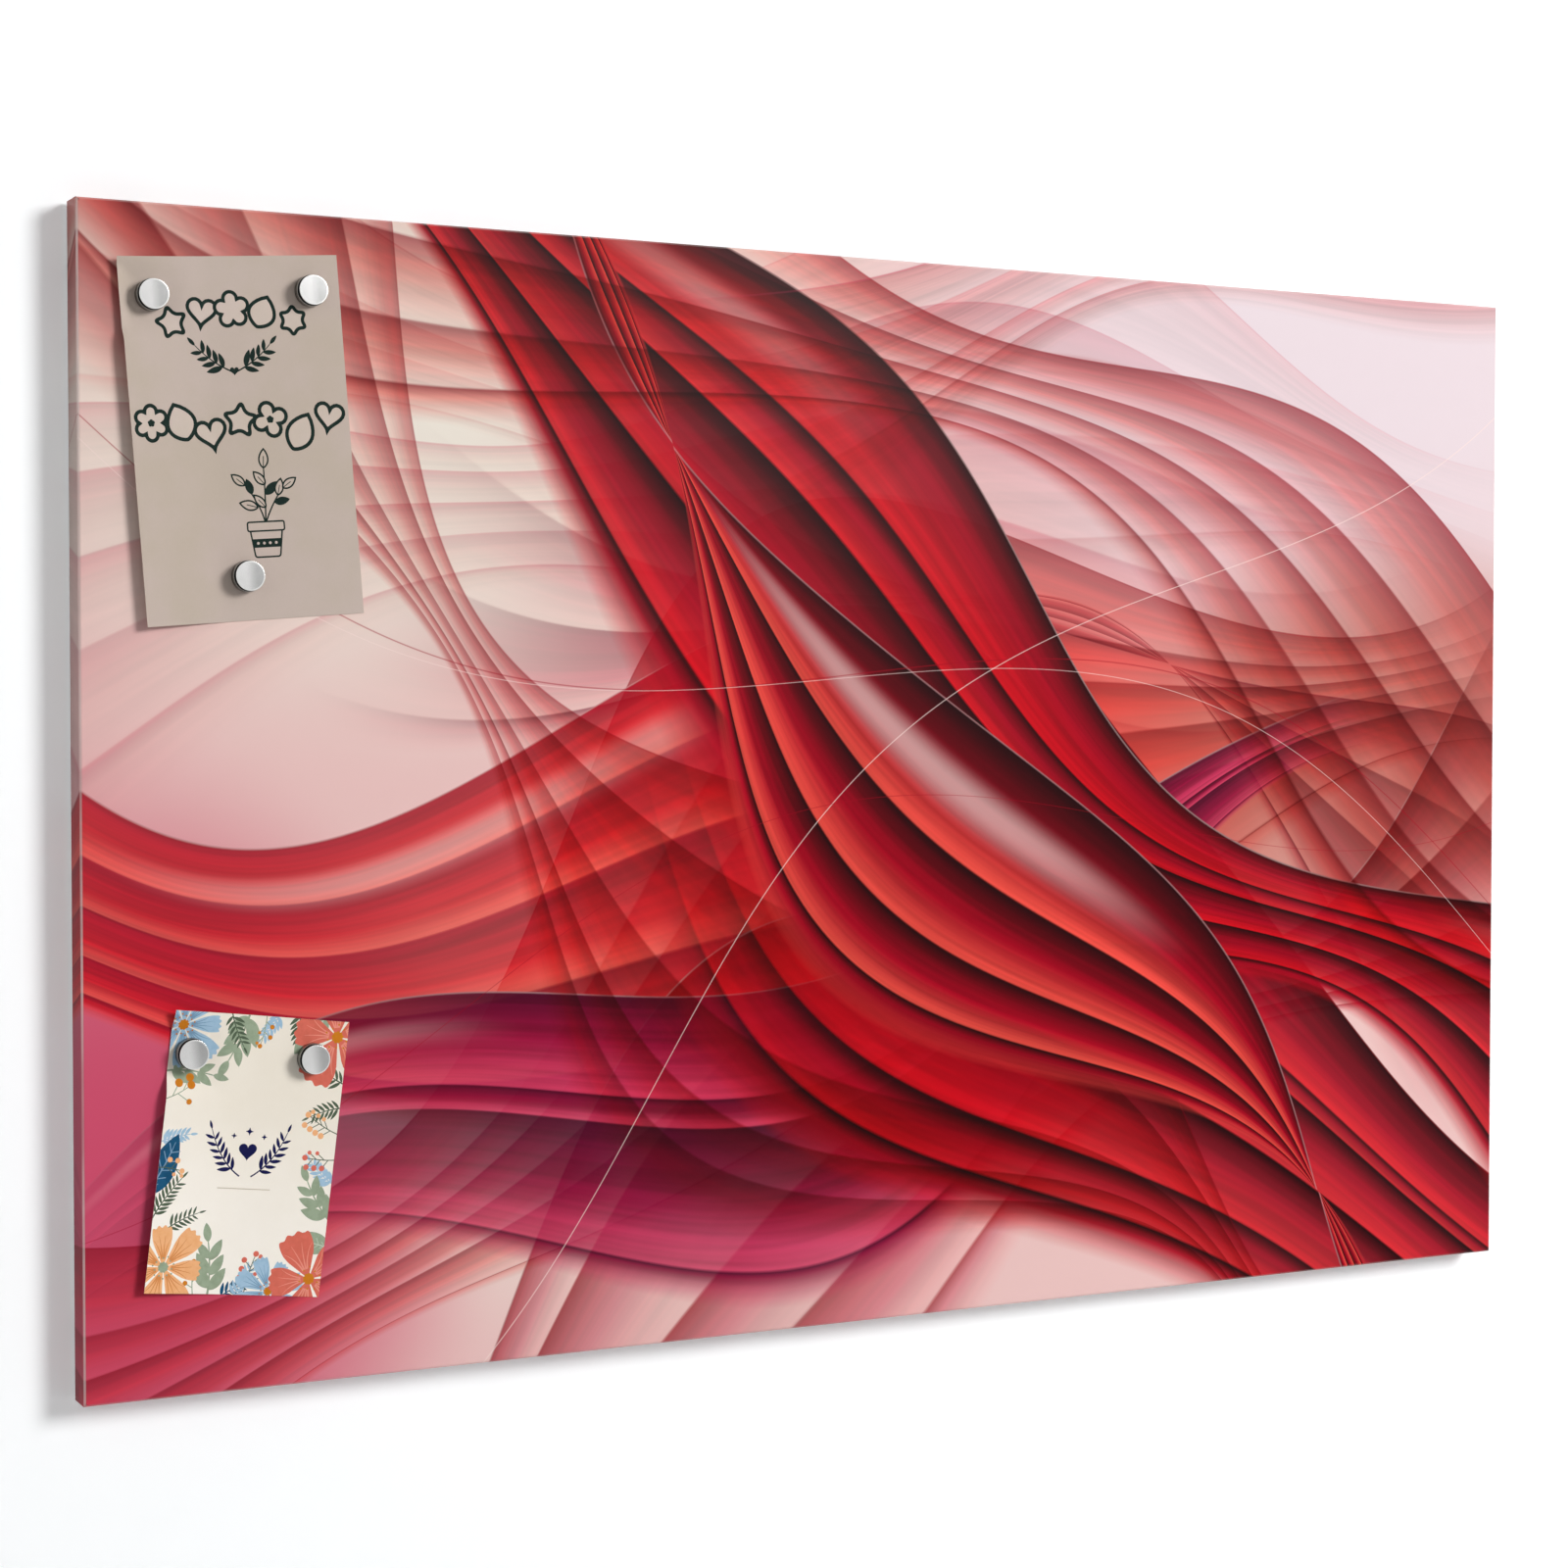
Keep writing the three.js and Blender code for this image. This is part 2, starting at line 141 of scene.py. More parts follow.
def clamped(value):
    return value.node("Clamp", {}, {0: value})


def blended(under, over, amount, kind="MIX"):
    start = next(w for w in (under, over, amount) if isinstance(w, Wire))
    settings = {"data_type": "RGBA", "blend_type": kind}
    return start.node("Mix", settings, {0: amount, 6: under, 7: over}, 2)


def shaded(colour, value, *levels):
    # the colour times a share that follows the value between the two levels
    return blended(colour, grey(middling(value, *levels)), 1.0, "MULTIPLY")


def grey(value):
    return value.node("CombineColor", {}, {0: value, 1: value, 2: value})


def noise(place, scale, detail=3.0, roughness=0.55, dimensions="3D"):
    return place.node("TexNoise", {"noise_dimensions": dimensions},
                      {"Vector": place, "Scale": scale, "Detail": detail, "Roughness": roughness})


def stretched(place, x, y, z):
    return place.node("VectorMath", {"operation": "MULTIPLY"}, {0: place, 1: (x, y, z)})


def newFinish(name):
    finish = bpy.data.materials.new(name)
    finish.use_nodes = True
    finish.node_tree.nodes.clear()
    return finish, Wire(finish.node_tree)


def closeFinish(start, colour, roughness, metallic, height, relief, specular=0.5):
    # relief in millimetres
    bump = start.node("Bump", {}, {"Strength": 1.0, "Distance": relief * mm, "Height": height})
    sockets = {"Base Color": colour, "Roughness": roughness, "Metallic": metallic,
               "Specular IOR Level": specular, "Normal": bump}
    start.node("OutputMaterial", {}, {"Surface": start.node("BsdfPrincipled", {}, sockets)})


def objectPlace(start):
    return start.node("TexCoord").output("Object")


# Print: overlapping translucent veils and satin ribbons over soft glows. Decimetres from the middle
# of the board and degrees; strengths, swells and fades are shares.
inks = {
    "cream": "f1eae0", "shell": "f9e6e1", "blush": "efcfcc", "petal": "f6c3c4", "salmon": "f0a29a",
    "coral": "ee6a5e", "scarlet": "d82032", "crimson": "b01034", "rose": "d8557b", "magenta": "9c1a50",
    "plum": "5c0f3a", "maroon": "2c060e", "clay": "bb7058", "lilac": "eadde1",
}

printDesign = {
    "ground": "blush",
    "glows": [
        (-2.6, 2.4, 3.6, 2.4, "cream", 1.0),
        (-1.2, -1.4, 2.6, 1.8, "cream", 0.8),
        (0.9, -0.3, 2.3, 2.2, "coral", 0.9),
        (0.5, 0.1, 1.2, 1.3, "scarlet", 0.45),
        (3.2, 2.6, 4.2, 2.3, "lilac", 1.0),
        (3.6, 0.2, 2.2, 1.6, "clay", 0.6),
        (-4.4, -2.1, 2.2, 2.6, "rose", 0.9),
    ],
    # kind, inks (light, middle, deep), folds, seed, strength, turn, offset, half width,
    # bends (rise, length, phase), swell (share, length, phase), span, edge ink, shine
    "sheets": [
        ("veil", ("shell", "blush", "petal"), 3, 3, 0.5, -9, 2.2, 0.75,
         [(0.3, 9.0, 0.4), (0.06, 4.1, 1.0)], (0.5, 6.2, 1.1), (-6, -5, 2, 5), "rose", 0),
        ("veil", ("shell", "blush", "rose"), 4, 5, 0.4, 6, 1.35, 0.85,
         [(0.42, 10.6, 2.5), (0.08, 4.4, 0.4)], (0.55, 7.0, 0.2), (-6, -5, 1, 4.5), "rose", 0),
        ("veil", ("petal", "rose", "magenta"), 3, 13, 0.9, -24, 0.9, 0.7,
         [(0.6, 9.6, 0.4), (0.08, 4.2, 0.9)], (1.15, 9.4, 4.2), (-3.4, -1.4, 3, 5), "magenta", 0.1),
        ("veil", ("salmon", "coral", "crimson"), 5, 21, 0.9, 22, -0.6, 1.05,
         [(0.55, 9.2, 1.4), (0.08, 4.2, 2.0)], (0.6, 7.6, 1.6), (-6, -5, 3, 5), "crimson", 0.1),
        ("satin", ("coral", "scarlet", "crimson"), 4, 34, 0.9, -14, -1.0, 1.0,
         [(0.6, 9.4, 1.0), (0.1, 4.7, 2.4)], (0.5, 7.3, 1.9), (-6, -5, 1.0, 3.0), "shell", 0.35),
        ("veil", ("petal", "rose", "crimson"), 4, 41, 0.95, 28, -2.2, 0.9,
         [(0.5, 8.6, 2.0), (0.05, 3.9, 1.9)], (0.7, 7.0, 3.1), (-6, -5, 3, 5), "shell", 0.1),
        ("satin", ("rose", "magenta", "plum"), 3, 55, 0.95, 18, -1.15, 0.55,
         [(0.55, 7.4, 5.2), (0.07, 4.6, 0.0)], (0.7, 8.9, 2.6), (-5.6, -2.2, 2.2, 3.6), "blush", 0.5),
        ("satin", ("scarlet", "crimson", "maroon"), 5, 58, 1.0, -45, 0.25, 1.25,
         [(-0.4, 9.4, 0.9), (-0.07, 4.6, 1.0)], (0.3, 8.4, 1.2), (-1.4, 1.2, 7, 8), "crimson", 0.25),
        ("satin", ("scarlet", "crimson", "maroon"), 4, 61, 1.0, -34, 0.9, 0.85,
         [(-0.5, 9.8, 1.2), (-0.07, 4.6, 0.0)], (0.55, 7.4, 2.2), (-6, -5, 7, 8), "blush", 0.4),
        ("veil", ("salmon", "scarlet", "crimson"), 4, 77, 0.9, -44, -0.9, 0.75,
         [(-0.5, 9.0, 2.2), (-0.07, 4.6, 0.7)], (0.8, 6.4, 0.8), (-6, -5, 7, 8), "crimson", 0.1),
        ("satin", ("coral", "crimson", "maroon"), 3, 81, 1.0, -50, 0.35, 0.42,
         [(-0.45, 8.4, 1.9), (-0.06, 4.1, 0.4)], (1.25, 7.8, 0.9), (-6, -5, 7, 8), "petal", 0.5),
        ("veil", ("petal", "coral", "crimson"), 4, 99, 0.95, -26, 2.0, 0.8,
         [(-0.5, 10.2, 4.4), (-0.08, 4.7, 2.9)], (0.6, 7.4, 5.1), (-6, -5, 4.4, 6), "crimson", 0.2),
        ("veil", ("shell", "blush", "petal"), 3, 105, 0.95, 14, 2.35, 0.6,
         [(-0.3, 9.4, 2.6), (-0.06, 3.9, 0.9)], (0.4, 6.4, 2.7), (-1, 1, 5, 6), "rose", 0),
    ],
    "threads": [
        (-18, 0.6, [(0.7, 9.8, 0.2)], 0.006, "crimson", 0.6),
        (-20, 0.5, [(0.75, 10.2, 0.3)], 0.004, "shell", 0.6),
        (38, -0.4, [(0.55, 9.2, 1.4)], 0.005, "shell", 0.7),
        (12, -0.6, [(0.6, 9.0, 1.9)], 0.004, "crimson", 0.5),
    ],
    # how opaque a sheet is at its lightest and its deepest
    "veil": (0.25, 0.9),
    "satin": (0.92, 1.0),
    # where each fold is cut, how deep it gets and where its middle tone lies, all as random shares
    "cutPlace": (0.25, 1.0),
    "cutDepth": (0.65, 1.0),
    "middlePlace": (0.3, 0.6),
    "middleDepth": 0.45,
    "firstFold": 0.06,
    "cutWidth": 0.006,
    "betweenFolds": 0.01,
    "wander": 0.36,  # how far the folds drift across a sheet along its length
    "streaks": {"along": 0.35, "across": 22, "tones": (0.8, 1.15)},
    "gloss": {"from": (0.74, 0.83), "to": (0.91, 0.84), "length": 1.2, "phase": 1.7},
    "edgeThickness": 0.016,
    "edgeStrength": 0.8,
    "edgeSharpness": 120,
    "reach": 6,
    "depth": 1.3,  # gamma of the finished print
}


def foldStops(kind, colours, folds, seed, strength):
    # each fold darkens towards its cut and starts light again behind it
    light, middle, deep = [inks[ink] for ink in colours]
    low, high = printDesign[kind]
    chance = random.Random(seed)
    cuts = sorted((i + chance.uniform(*printDesign["cutPlace"])) / (folds + 1) for i in range(folds))
    stops = [(0.0, tone(light, 0.0))]
    last = printDesign["firstFold"]

    def opacity(depth):
        return strength * (low + depth * (high - low))

    for cut in cuts + [1.0]:
        depth = chance.uniform(*printDesign["cutDepth"])
        between = last + chance.uniform(*printDesign["middlePlace"]) * (cut - last)
        stops.append((between, tone(middle, opacity(printDesign["middleDepth"]))))
        stops.append((cut, tone(deep, opacity(depth))))
        if cut < 1:
            stops.append((cut + printDesign["cutWidth"], tone(light, opacity(0))))
        last = cut + printDesign["betweenFolds"]
    return stops


def waveAt(along, length, phase):
    return (along * (2 * math.pi / length) + phase).math("SINE")


def acrossWave(x, z, turn, offset, bends):
    angle = math.radians(turn)
    along = x * math.cos(angle) + z * math.sin(angle)
    across = z * math.cos(angle) - x * math.sin(angle) - offset
    for rise, length, phase in bends:
        across = across - waveAt(along, length, phase) * rise
    return along, across


def sheetLayer(x, z, under, sheet):
    kind, colours, folds, seed, strength, turn, offset, halfWidth, bends, swell, span, edge, shine = sheet
    along, across = acrossWave(x, z, turn, offset, bends)
    share, length, phase = swell
    reach = waveAt(along, length, phase) * (share * halfWidth) + halfWidth
    place = across / reach * 0.5 + 0.5
    within = clamped(place)
    wander = waveAt(along, 2 * length, 2 * phase) * printDesign["wander"]
    folded = within + wander * within * (1 - within)
    ramp = x.node("ValToRGB", {"stops": foldStops(kind, colours, folds, seed, strength)}, {0: folded})
    fromEdge = (1 - place) * (reach * 2).math("ABSOLUTE")
    alpha = ramp.output("Alpha") * clamped(fromEdge * printDesign["edgeSharpness"])
    if span[0] > -printDesign["reach"]:
        alpha = alpha * smoothStep(along, span[0], span[1])
    if span[3] < printDesign["reach"]:
        alpha = alpha * smoothStep(along, span[3], span[2])
    streaks = printDesign["streaks"]
    spot = x.node("CombineXYZ", {}, {0: along * streaks["along"], 1: folded * streaks["across"]})
    tint = shaded(ramp, noise(spot, 1.0, 2.0, 0.65, "2D"), *streaks["tones"])
    line = clamped(1 - fromEdge / printDesign["edgeThickness"])
    if shine:
        gloss = printDesign["gloss"]
        crest = smoothStep(folded, *gloss["from"]) * smoothStep(folded, *gloss["to"])
        shown = smoothStep(waveAt(along, gloss["length"] * length, gloss["phase"] * phase), 0.1, 1.0)
        tint = blended(tint, tone(inks["shell"]), crest * shown * shine)
    paint = blended(under, tint, alpha, "MULTIPLY" if kind == "veil" else "MIX")
    return blended(paint, tone(inks[edge]), line * alpha * printDesign["edgeStrength"])


def printColour(x, z):
    paint = tone(inks[printDesign["ground"]])
    for centreX, centreZ, reachX, reachZ, ink, strength in printDesign["glows"]:
        away = ((x - centreX) / reachX) ** 2 + ((z - centreZ) / reachZ) ** 2
        paint = blended(paint, tone(inks[ink]), smoothStep(away, 1.0, 0.0) * strength)
    for sheet in printDesign["sheets"]:
        paint = sheetLayer(x, z, paint, sheet)
    for turn, offset, bends, thickness, ink, strength in printDesign["threads"]:
        along, across = acrossWave(x, z, turn, offset, bends)
        line = clamped(1 - across.math("ABSOLUTE") / thickness) * strength
        paint = blended(paint, tone(inks[ink]), line)
    return x.node("Gamma", {}, {0: paint, 1: printDesign["depth"]})


filmLow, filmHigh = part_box("print_film")
trayLow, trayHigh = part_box("steel_tray")

# The film's gloss, the painted shade on its sides and a painted highlight along its folds, in millimetres
# and shares
filmValues = {
    "paintedSideShade": 0.28,  # painted shade: how much darker the print is on the sides
    "sideFrom": (0.8, 1.8),
    "foldHighlightWidth": (1.3, 0.8),
    "levelFoldHighlight": 0.3,  # how strong the painted highlight on the level folds is beside the upright ones
    "foldHighlightStrength": (0.3, 0.7),
    "roughness": (0.3, 0.36),
    "relief": 0.01,
    "specular": 0.05,
}


def printedFilm():
    # the print runs over the fold and mirrors down each side
    values = filmValues
    finish, start = newFinish("printedFilm")
    place = start.node("SeparateXYZ", {}, {0: objectPlace(start)})
    x, y, z = place, place.output("Y"), place.output("Z")
    depth = y - filmLow.y
    folded = []
    fromFold = []
    for value, edge in ((x, filmHigh.x), (z, filmHigh.z)):
        inward = edge - value.math("ABSOLUTE")
        folded.append(value.math("SIGN") * (edge - inward.math("MAXIMUM", depth)) * 10)
        fromFold.append((inward * inward + depth * depth).math("SQRT"))
    # painted shade: the print is darkened on the board's sides
    paintedSideShadeShare = smoothStep(depth, *[reach * mm for reach in values["sideFrom"]])
    colour = blended(printColour(*folded), grey(1 - paintedSideShadeShare * values["paintedSideShade"]), 1.0, "MULTIPLY")
    # painted highlight: a pale line along the folds, strongest on the upright ones
    foldHighlightWidth = [reach * mm for reach in values["foldHighlightWidth"]]
    upright, level = [smoothStep(away, *foldHighlightWidth) for away in fromFold]
    fold = upright.math("MAXIMUM", level * values["levelFoldHighlight"])
    foldHighlightStrength = remap(noise(objectPlace(start), 9, 3.0), 0.35, 0.65, *values["foldHighlightStrength"])
    colour = blended(colour, tone(inks["shell"]), fold * foldHighlightStrength)
    grain = noise(objectPlace(start), 900, 2.0)
    closeFinish(start, colour, middling(grain, *values["roughness"]), 0.0, grain, values["relief"],
                values["specular"])
    return finish


# Plain finishes: tints, roughness at both ends of the grain and relief in millimetres
plainFinishes = {
    "powder": {"tint": "dcdcda", "dust": "c6c4be", "dusty": 0.35, "roughness": (0.42, 0.56),
               "relief": 0.03},
    "zinc": {"tint": "b9bdc0", "dark": "9a9fa3", "spangle": 0.65, "roughness": (0.3, 0.5),
             "relief": 0.01},
    "aluminium": {"tint": "cfd1d3", "roughness": (0.22, 0.36), "relief": 0.01},
    "cupSteel": {"tint": "8c8a86", "roughness": (0.24, 0.34), "relief": 0.002},
    "nickel": {"tint": "b5b3ad", "roughness": (0.14, 0.24), "relief": 0.002},
    # painted shade: black for the recess of the magnets' groove and the foot of their ring
    "paintedShadeBlack": {"tint": "141414", "roughness": (0.5, 0.62), "relief": 0.01},
    "turningTones": (0.88, 1.06),
    "rubber": {"tint": "2e2f30", "dark": "1c1d1e", "roughness": (0.7, 0.88), "relief": 0.03},
    "tape": {"tint": "f0eee6", "dark": "d6d4cb", "roughness": 0.9, "relief": 0.08},
    "paper": {"roughness": (0.78, 0.92), "relief": 0.03, "specular": 0.3},
    "ink": {"roughness": (0.66, 0.8), "relief": 0.02, "specular": 0.05, "pooling": 0.5},
}


def powderCoat():
    values = plainFinishes["powder"]
    finish, start = newFinish("powderCoat")
    place = objectPlace(start)
    peel = noise(place, 700, 2.0)
    dust = smoothStep(noise(place, 9, 5.0, 0.6), 0.42, 0.7)
    colour = blended(tone(values["tint"]), tone(values["dust"]), dust * values["dusty"])
    closeFinish(start, colour, middling(peel, *values["roughness"]), 0.0, peel, values["relief"])
    return finish


def galvanised():
    values = plainFinishes["zinc"]
    finish, start = newFinish("galvanised")
    place = objectPlace(start)
    bent = blended(place, noise(place, 60, 2.0).output("Color"), 0.02, "ADD")
    spangle = start.node("TexVoronoi", {}, {"Vector": bent, "Scale": 130}, "Color")
    shade = start.node("SeparateColor", {}, {0: spangle})
    rolled = noise(stretched(place, 900, 900, 14), 1.0, 3.0)
    mixed = shade * values["spangle"] + rolled * (1 - values["spangle"])
    colour = blended(tone(values["dark"]), tone(values["tint"]), mixed)
    roughness = remap(mixed, 0.2, 0.8, *values["roughness"])
    closeFinish(start, colour, roughness, 1.0, mixed, values["relief"])
    return finish


def turnedMetal(name):
    # fine rings left by turning, about the piece's own axis
    values = plainFinishes[name]
    finish, start = newFinish(name)
    place = start.node("SeparateXYZ", {}, {0: objectPlace(start)})
    away = (place * place + place.output("Z") * place.output("Z")).math("SQRT")
    spot = start.node("CombineXYZ", {}, {0: away * 1000, 1: place.output("Y") * 1000})
    rings = noise(spot, 6.0, 2.0, 0.6, "2D")
    shade = rings * 0.6 + noise(objectPlace(start), 260, 3.0) * 0.4
    colour = shaded(tone(values["tint"]), shade, *plainFinishes["turningTones"])
    closeFinish(start, colour, middling(shade, *values["roughness"]), 1.0, rings, values["relief"])
    return finish


# Magnet faces: a painted sheen, light on the left and dark on the right, and a painted highlight on the
# rim. Millimetres and shares of the radius.
faceValues = {
    "radius": 7.6,
    "bright": "c6c5c4",
    "paintedSheenDark": "9a9a99",
    # painted highlight on the rim
    "rim": "c6c6c4",
    "paintedSheenFade": (-0.45, 0.6),  # painted sheen, light on the left and dark on the right
    "tilt": 0.12,
    "paintedRimHighlightPlace": (0.87, 0.94),
    "clouding": (0.97, 1.02),
    "roughness": (0.23, 0.26),
    "relief": 0.0003,
}


def satinFace():
    values = faceValues
    finish, start = newFinish("satinFace")
    place = start.node("SeparateXYZ", {}, {0: objectPlace(start)})
    radius = values["radius"] * mm
    x, z = place / radius, place.output("Z") / radius
    away = (x * x + z * z).math("SQRT")
    # painted sheen: the face is painted lighter on the left and darker on the right
    paintedSheenShare = smoothStep(x + z * values["tilt"], *values["paintedSheenFade"])
    rings = noise(start.node("CombineXYZ", {}, {0: away * 8}), 8.0, 2.0, 0.6, "2D")
    colour = blended(tone(values["bright"]), tone(values["paintedSheenDark"]), paintedSheenShare)
    # painted highlight: a lighter ring at the rim
    colour = blended(colour, tone(values["rim"]), smoothStep(away, *values["paintedRimHighlightPlace"]))
    shade = rings * 0.5 + noise(objectPlace(start), 420, 3.0) * 0.5
    colour = shaded(colour, shade, *values["clouding"])
    closeFinish(start, colour, middling(shade, *values["roughness"]), 1.0, rings, values["relief"])
    return finish


def blackRubber():
    values = plainFinishes["rubber"]
    finish, start = newFinish("blackRubber")
    grain = noise(objectPlace(start), 1500, 3.0)
    colour = blended(tone(values["dark"]), tone(values["tint"]), grain)
    closeFinish(start, colour, middling(grain, *values["roughness"]), 0.0, grain, values["relief"])
    return finish


def foamTape():
    values = plainFinishes["tape"]
    finish, start = newFinish("foamTape")
    pores = start.node("TexVoronoi", {}, {"Vector": objectPlace(start), "Scale": 2200}, "Distance")
    colour = blended(tone(values["dark"]), tone(values["tint"]), smoothStep(pores, 0.1, 0.5))
    closeFinish(start, colour, values["roughness"], 0.0, pores, values["relief"])
    return finish


def paper(name, tint, shade, weave, pale=None):
    # long faint fibres and a cloudy tone in the sheet; pale says where it shifts from tint to shade
    values = plainFinishes["paper"]
    finish, start = newFinish(name)
    place = objectPlace(start)
    cloud = noise(place, 22, 4.0, 0.6)
    fibres = noise(stretched(place, 3000, 3000, 700), 1.0, 4.0, 0.7)
    tooth = noise(place, 2600, 3.0)
    amount = smoothStep(cloud, 0.35, 0.7) * 0.6
    if pale:
        split = start.node("SeparateXYZ", {}, {0: place})
        lean = split.output("Z") + (split - pale["middle"]) * pale["lean"]
        amount = amount * (1 - pale["share"]) + smoothStep(lean, *pale["fade"]) * pale["share"]
    colour = shaded(blended(tone(tint), tone(shade), amount), fibres, 1 - weave, 1 + 0.5 * weave)
    closeFinish(start, colour, middling(tooth, *values["roughness"]), 0.0, fibres * 0.5 + tooth * 0.5,
                values["relief"], values["specular"])
    return finish


finishes = {
    "film": printedFilm(),
    "powder": powderCoat(),
    "zinc": galvanised(),
    "aluminium": turnedMetal("aluminium"),
    "satinFace": satinFace(),
    "cupSteel": turnedMetal("cupSteel"),
    "paintedShadeBlack": turnedMetal("paintedShadeBlack"),
    "nickel": turnedMetal("nickel"),
    "rubber": blackRubber(),
    "tape": foamTape(),
}
print("finishes made")


def joined(shape, body, slotName, nodes):
    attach(shape, body)
    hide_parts(*nodes)


def meshObject(name, points, faces, faceFinishes, finishOf=None, sharp=38, place=(0, 0, 0)):
    mesh = bpy.data.meshes.new(name)
    mesh.from_pydata([tuple(p) for p in points], [], faces)
    for finish in faceFinishes:
        mesh.materials.append(finish)
    if finishOf is not None:
        mesh.polygons.foreach_set("material_index", finishOf)
    shape = bmesh.new()
    shape.from_mesh(mesh)
    bmesh.ops.recalc_face_normals(shape, faces=shape.faces)
    shape.to_mesh(mesh)
    shape.free()
    mesh.shade_smooth()
    mesh.set_sharp_from_angle(angle=math.radians(sharp))
    for polygon in mesh.polygons:
        if len(polygon.vertices) > 4:
            polygon.use_smooth = False
    made = bpy.data.objects.new(name, mesh)
    made.location = place
    bpy.context.scene.collection.objects.link(made)
    return made


def softened(points, radius, steps, closed=True):
    # every corner of an outline becomes a short curve; a list gives each corner its own radius
    made = []
    radii = radius if isinstance(radius, list) else [radius] * len(points)
    for i, point in enumerate(points):
        if not closed and i in (0, len(points) - 1):
            made.append(tuple(point))
            continue
        corner = Vector(point)
        before = Vector(points[i - 1]) - corner
        after = Vector(points[(i + 1) % len(points)]) - corner
        reach = min(radii[i], 0.45 * before.length, 0.45 * after.length)
        first = corner + before.normalized() * reach
        last = corner + after.normalized() * reach
        for k in range(steps + 1):
            t = k / steps
            made.append(tuple(first * (1 - t) ** 2 + corner * 2 * t * (1 - t) + last * t * t))
    return made


def arc(centre, radius, fromAngle, toAngle, steps):
    angles = [fromAngle + (toAngle - fromAngle) * i / steps for i in range(steps + 1)]
    return [(centre[0] + radius * math.cos(a), centre[1] + radius * math.sin(a)) for a in angles]


def area(points):
    return sum(p[0] * q[1] - q[0] * p[1] for p, q in zip(points, points[1:] + points[:1])) / 2


def grown(points, distance):
    # the outline moved outwards by a distance, or inwards by a negative one
    turn = 1 if area(points) > 0 else -1
    made = []
    for i, point in enumerate(points):
        here = Vector(point)
        before = (here - Vector(points[i - 1])).normalized()
        after = (Vector(points[(i + 1) % len(points)]) - here).normalized()
        along = (before + after).normalized()
        step = turn * distance / max(0.4, along.dot(after))
        made.append((here.x + along.y * step, here.y - along.x * step))
    return made


def prism(name, outlines, low, high, chamfer, place, finish):
    # an outline with holes between two levels, its rims chamfered; place turns (p, q, level) into a point
    shrunk = [grown(outlines[0], -chamfer)] + [grown(hole, chamfer) for hole in outlines[1:]]
    levels = [(low, shrunk), (low + chamfer, outlines), (high - chamfer, outlines), (high, shrunk)]
    points = [place(p, q, level) for level, rings in levels for ring in rings for p, q in ring]
    count = sum(len(ring) for ring in outlines)
    flat = [[Vector((p, q, 0)) for p, q in ring] for ring in shrunk]
    caps = tessellate_polygon(flat)
    faces = [tuple(cap) for cap in caps] + [tuple(i + 3 * count for i in cap) for cap in caps]
    start = 0
    for ring in outlines:
        for i in range(len(ring)):
            a, b = start + i, start + (i + 1) % len(ring)
            for under in (0, count, 2 * count):
                faces.append((a + under, b + under, b + under + count, a + under + count))
        start += len(ring)
    return meshObject(name, points, faces, [finish])


def turned(name, profile, sides, centre, finishNames, finishAt=None):
    # a profile of (radius, y) turned about Y; finishAt says which finish the band after a point has
    points, faces, rings, finishOf = [], [], [], []
    for radius, y in profile:
        if radius < 0.001 * mm:
            rings.append([len(points)] * sides)
            points.append((0, y - centre.y, 0))
        else:
            rings.append(list(range(len(points), len(points) + sides)))
            for i in range(sides):
                angle = 2 * math.pi * i / sides
                points.append((radius * math.cos(angle), y - centre.y, radius * math.sin(angle)))
    for step, (lower, upper) in enumerate(zip(rings, rings[1:])):
        for i in range(sides):
            k = (i + 1) % sides
            face = list(dict.fromkeys((lower[i], lower[k], upper[k], upper[i])))
            if len(face) > 2:
                faces.append(face)
                finishOf.append(finishAt(profile[step], profile[step + 1]) if finishAt else 0)
    return meshObject(name, points, faces, [finishes[f] for f in finishNames], finishOf, place=centre)


# Sheets folded from flat: tray and film. Millimetres.
foldValues = {
    "bendRadius": 1.3,  # outside of the steel
    "bendSteps": 8,
    "lipWidth": 18,
    "cornerSeam": 0.4,
    "steelThickness": 0.8,
    "filmThickness": 0.25,
}


def foldedSheet(name, outer, inner, finish):
    # outer and inner are the two faces of one section, in pairs of (inward, y); the first point of
    # each lies where the fold starts on the front
    count = len(outer)
    seam = foldValues["cornerSeam"] * mm
    points = []

    def spot(side, a, inward, y):
        out = (filmHigh.z if side % 2 == 0 else filmHigh.x) - inward
        return [(a, y, out), (out, y, -a), (-a, y, -out), (-out, y, a)][side]

    for face in (outer, inner):
        for side in range(4):
            halfSide = filmHigh.x if side % 2 == 0 else filmHigh.z
            points.append(spot(side, halfSide - face[0][0], face[0][0], face[0][1]))  # corner of the front
            for end in (-1, 1):
                for inward, y in face:
                    points.append(spot(side, end * (halfSide - inward - seam / 2), inward, y))
    stride = 1 + 2 * count
    total = 4 * stride

    def index(layer, side, end, step):
        return layer * total + side * stride + 1 + end * count + step

    faces, rim = [], []
    for layer in (0, 1):
        front = []
        for side in range(4):
            front += [index(layer, side, 0, 0), index(layer, side, 1, 0), layer * total + side * stride]
            for step in range(count - 1):
                faces.append((index(layer, side, 0, step), index(layer, side, 1, step),
                              index(layer, side, 1, step + 1), index(layer, side, 0, step + 1)))
        faces.append(tuple(front))
    for side in range(4):
        rim += [index(0, side, 0, step) for step in range(count)]
        rim += [index(0, side, 1, step) for step in reversed(range(count))]
        rim.append(side * stride)
    for a, b in zip(rim, rim[1:] + rim[:1]):
        faces.append((a, b, b + total, a + total))
    return meshObject(name, points, faces, [finish], sharp=30)


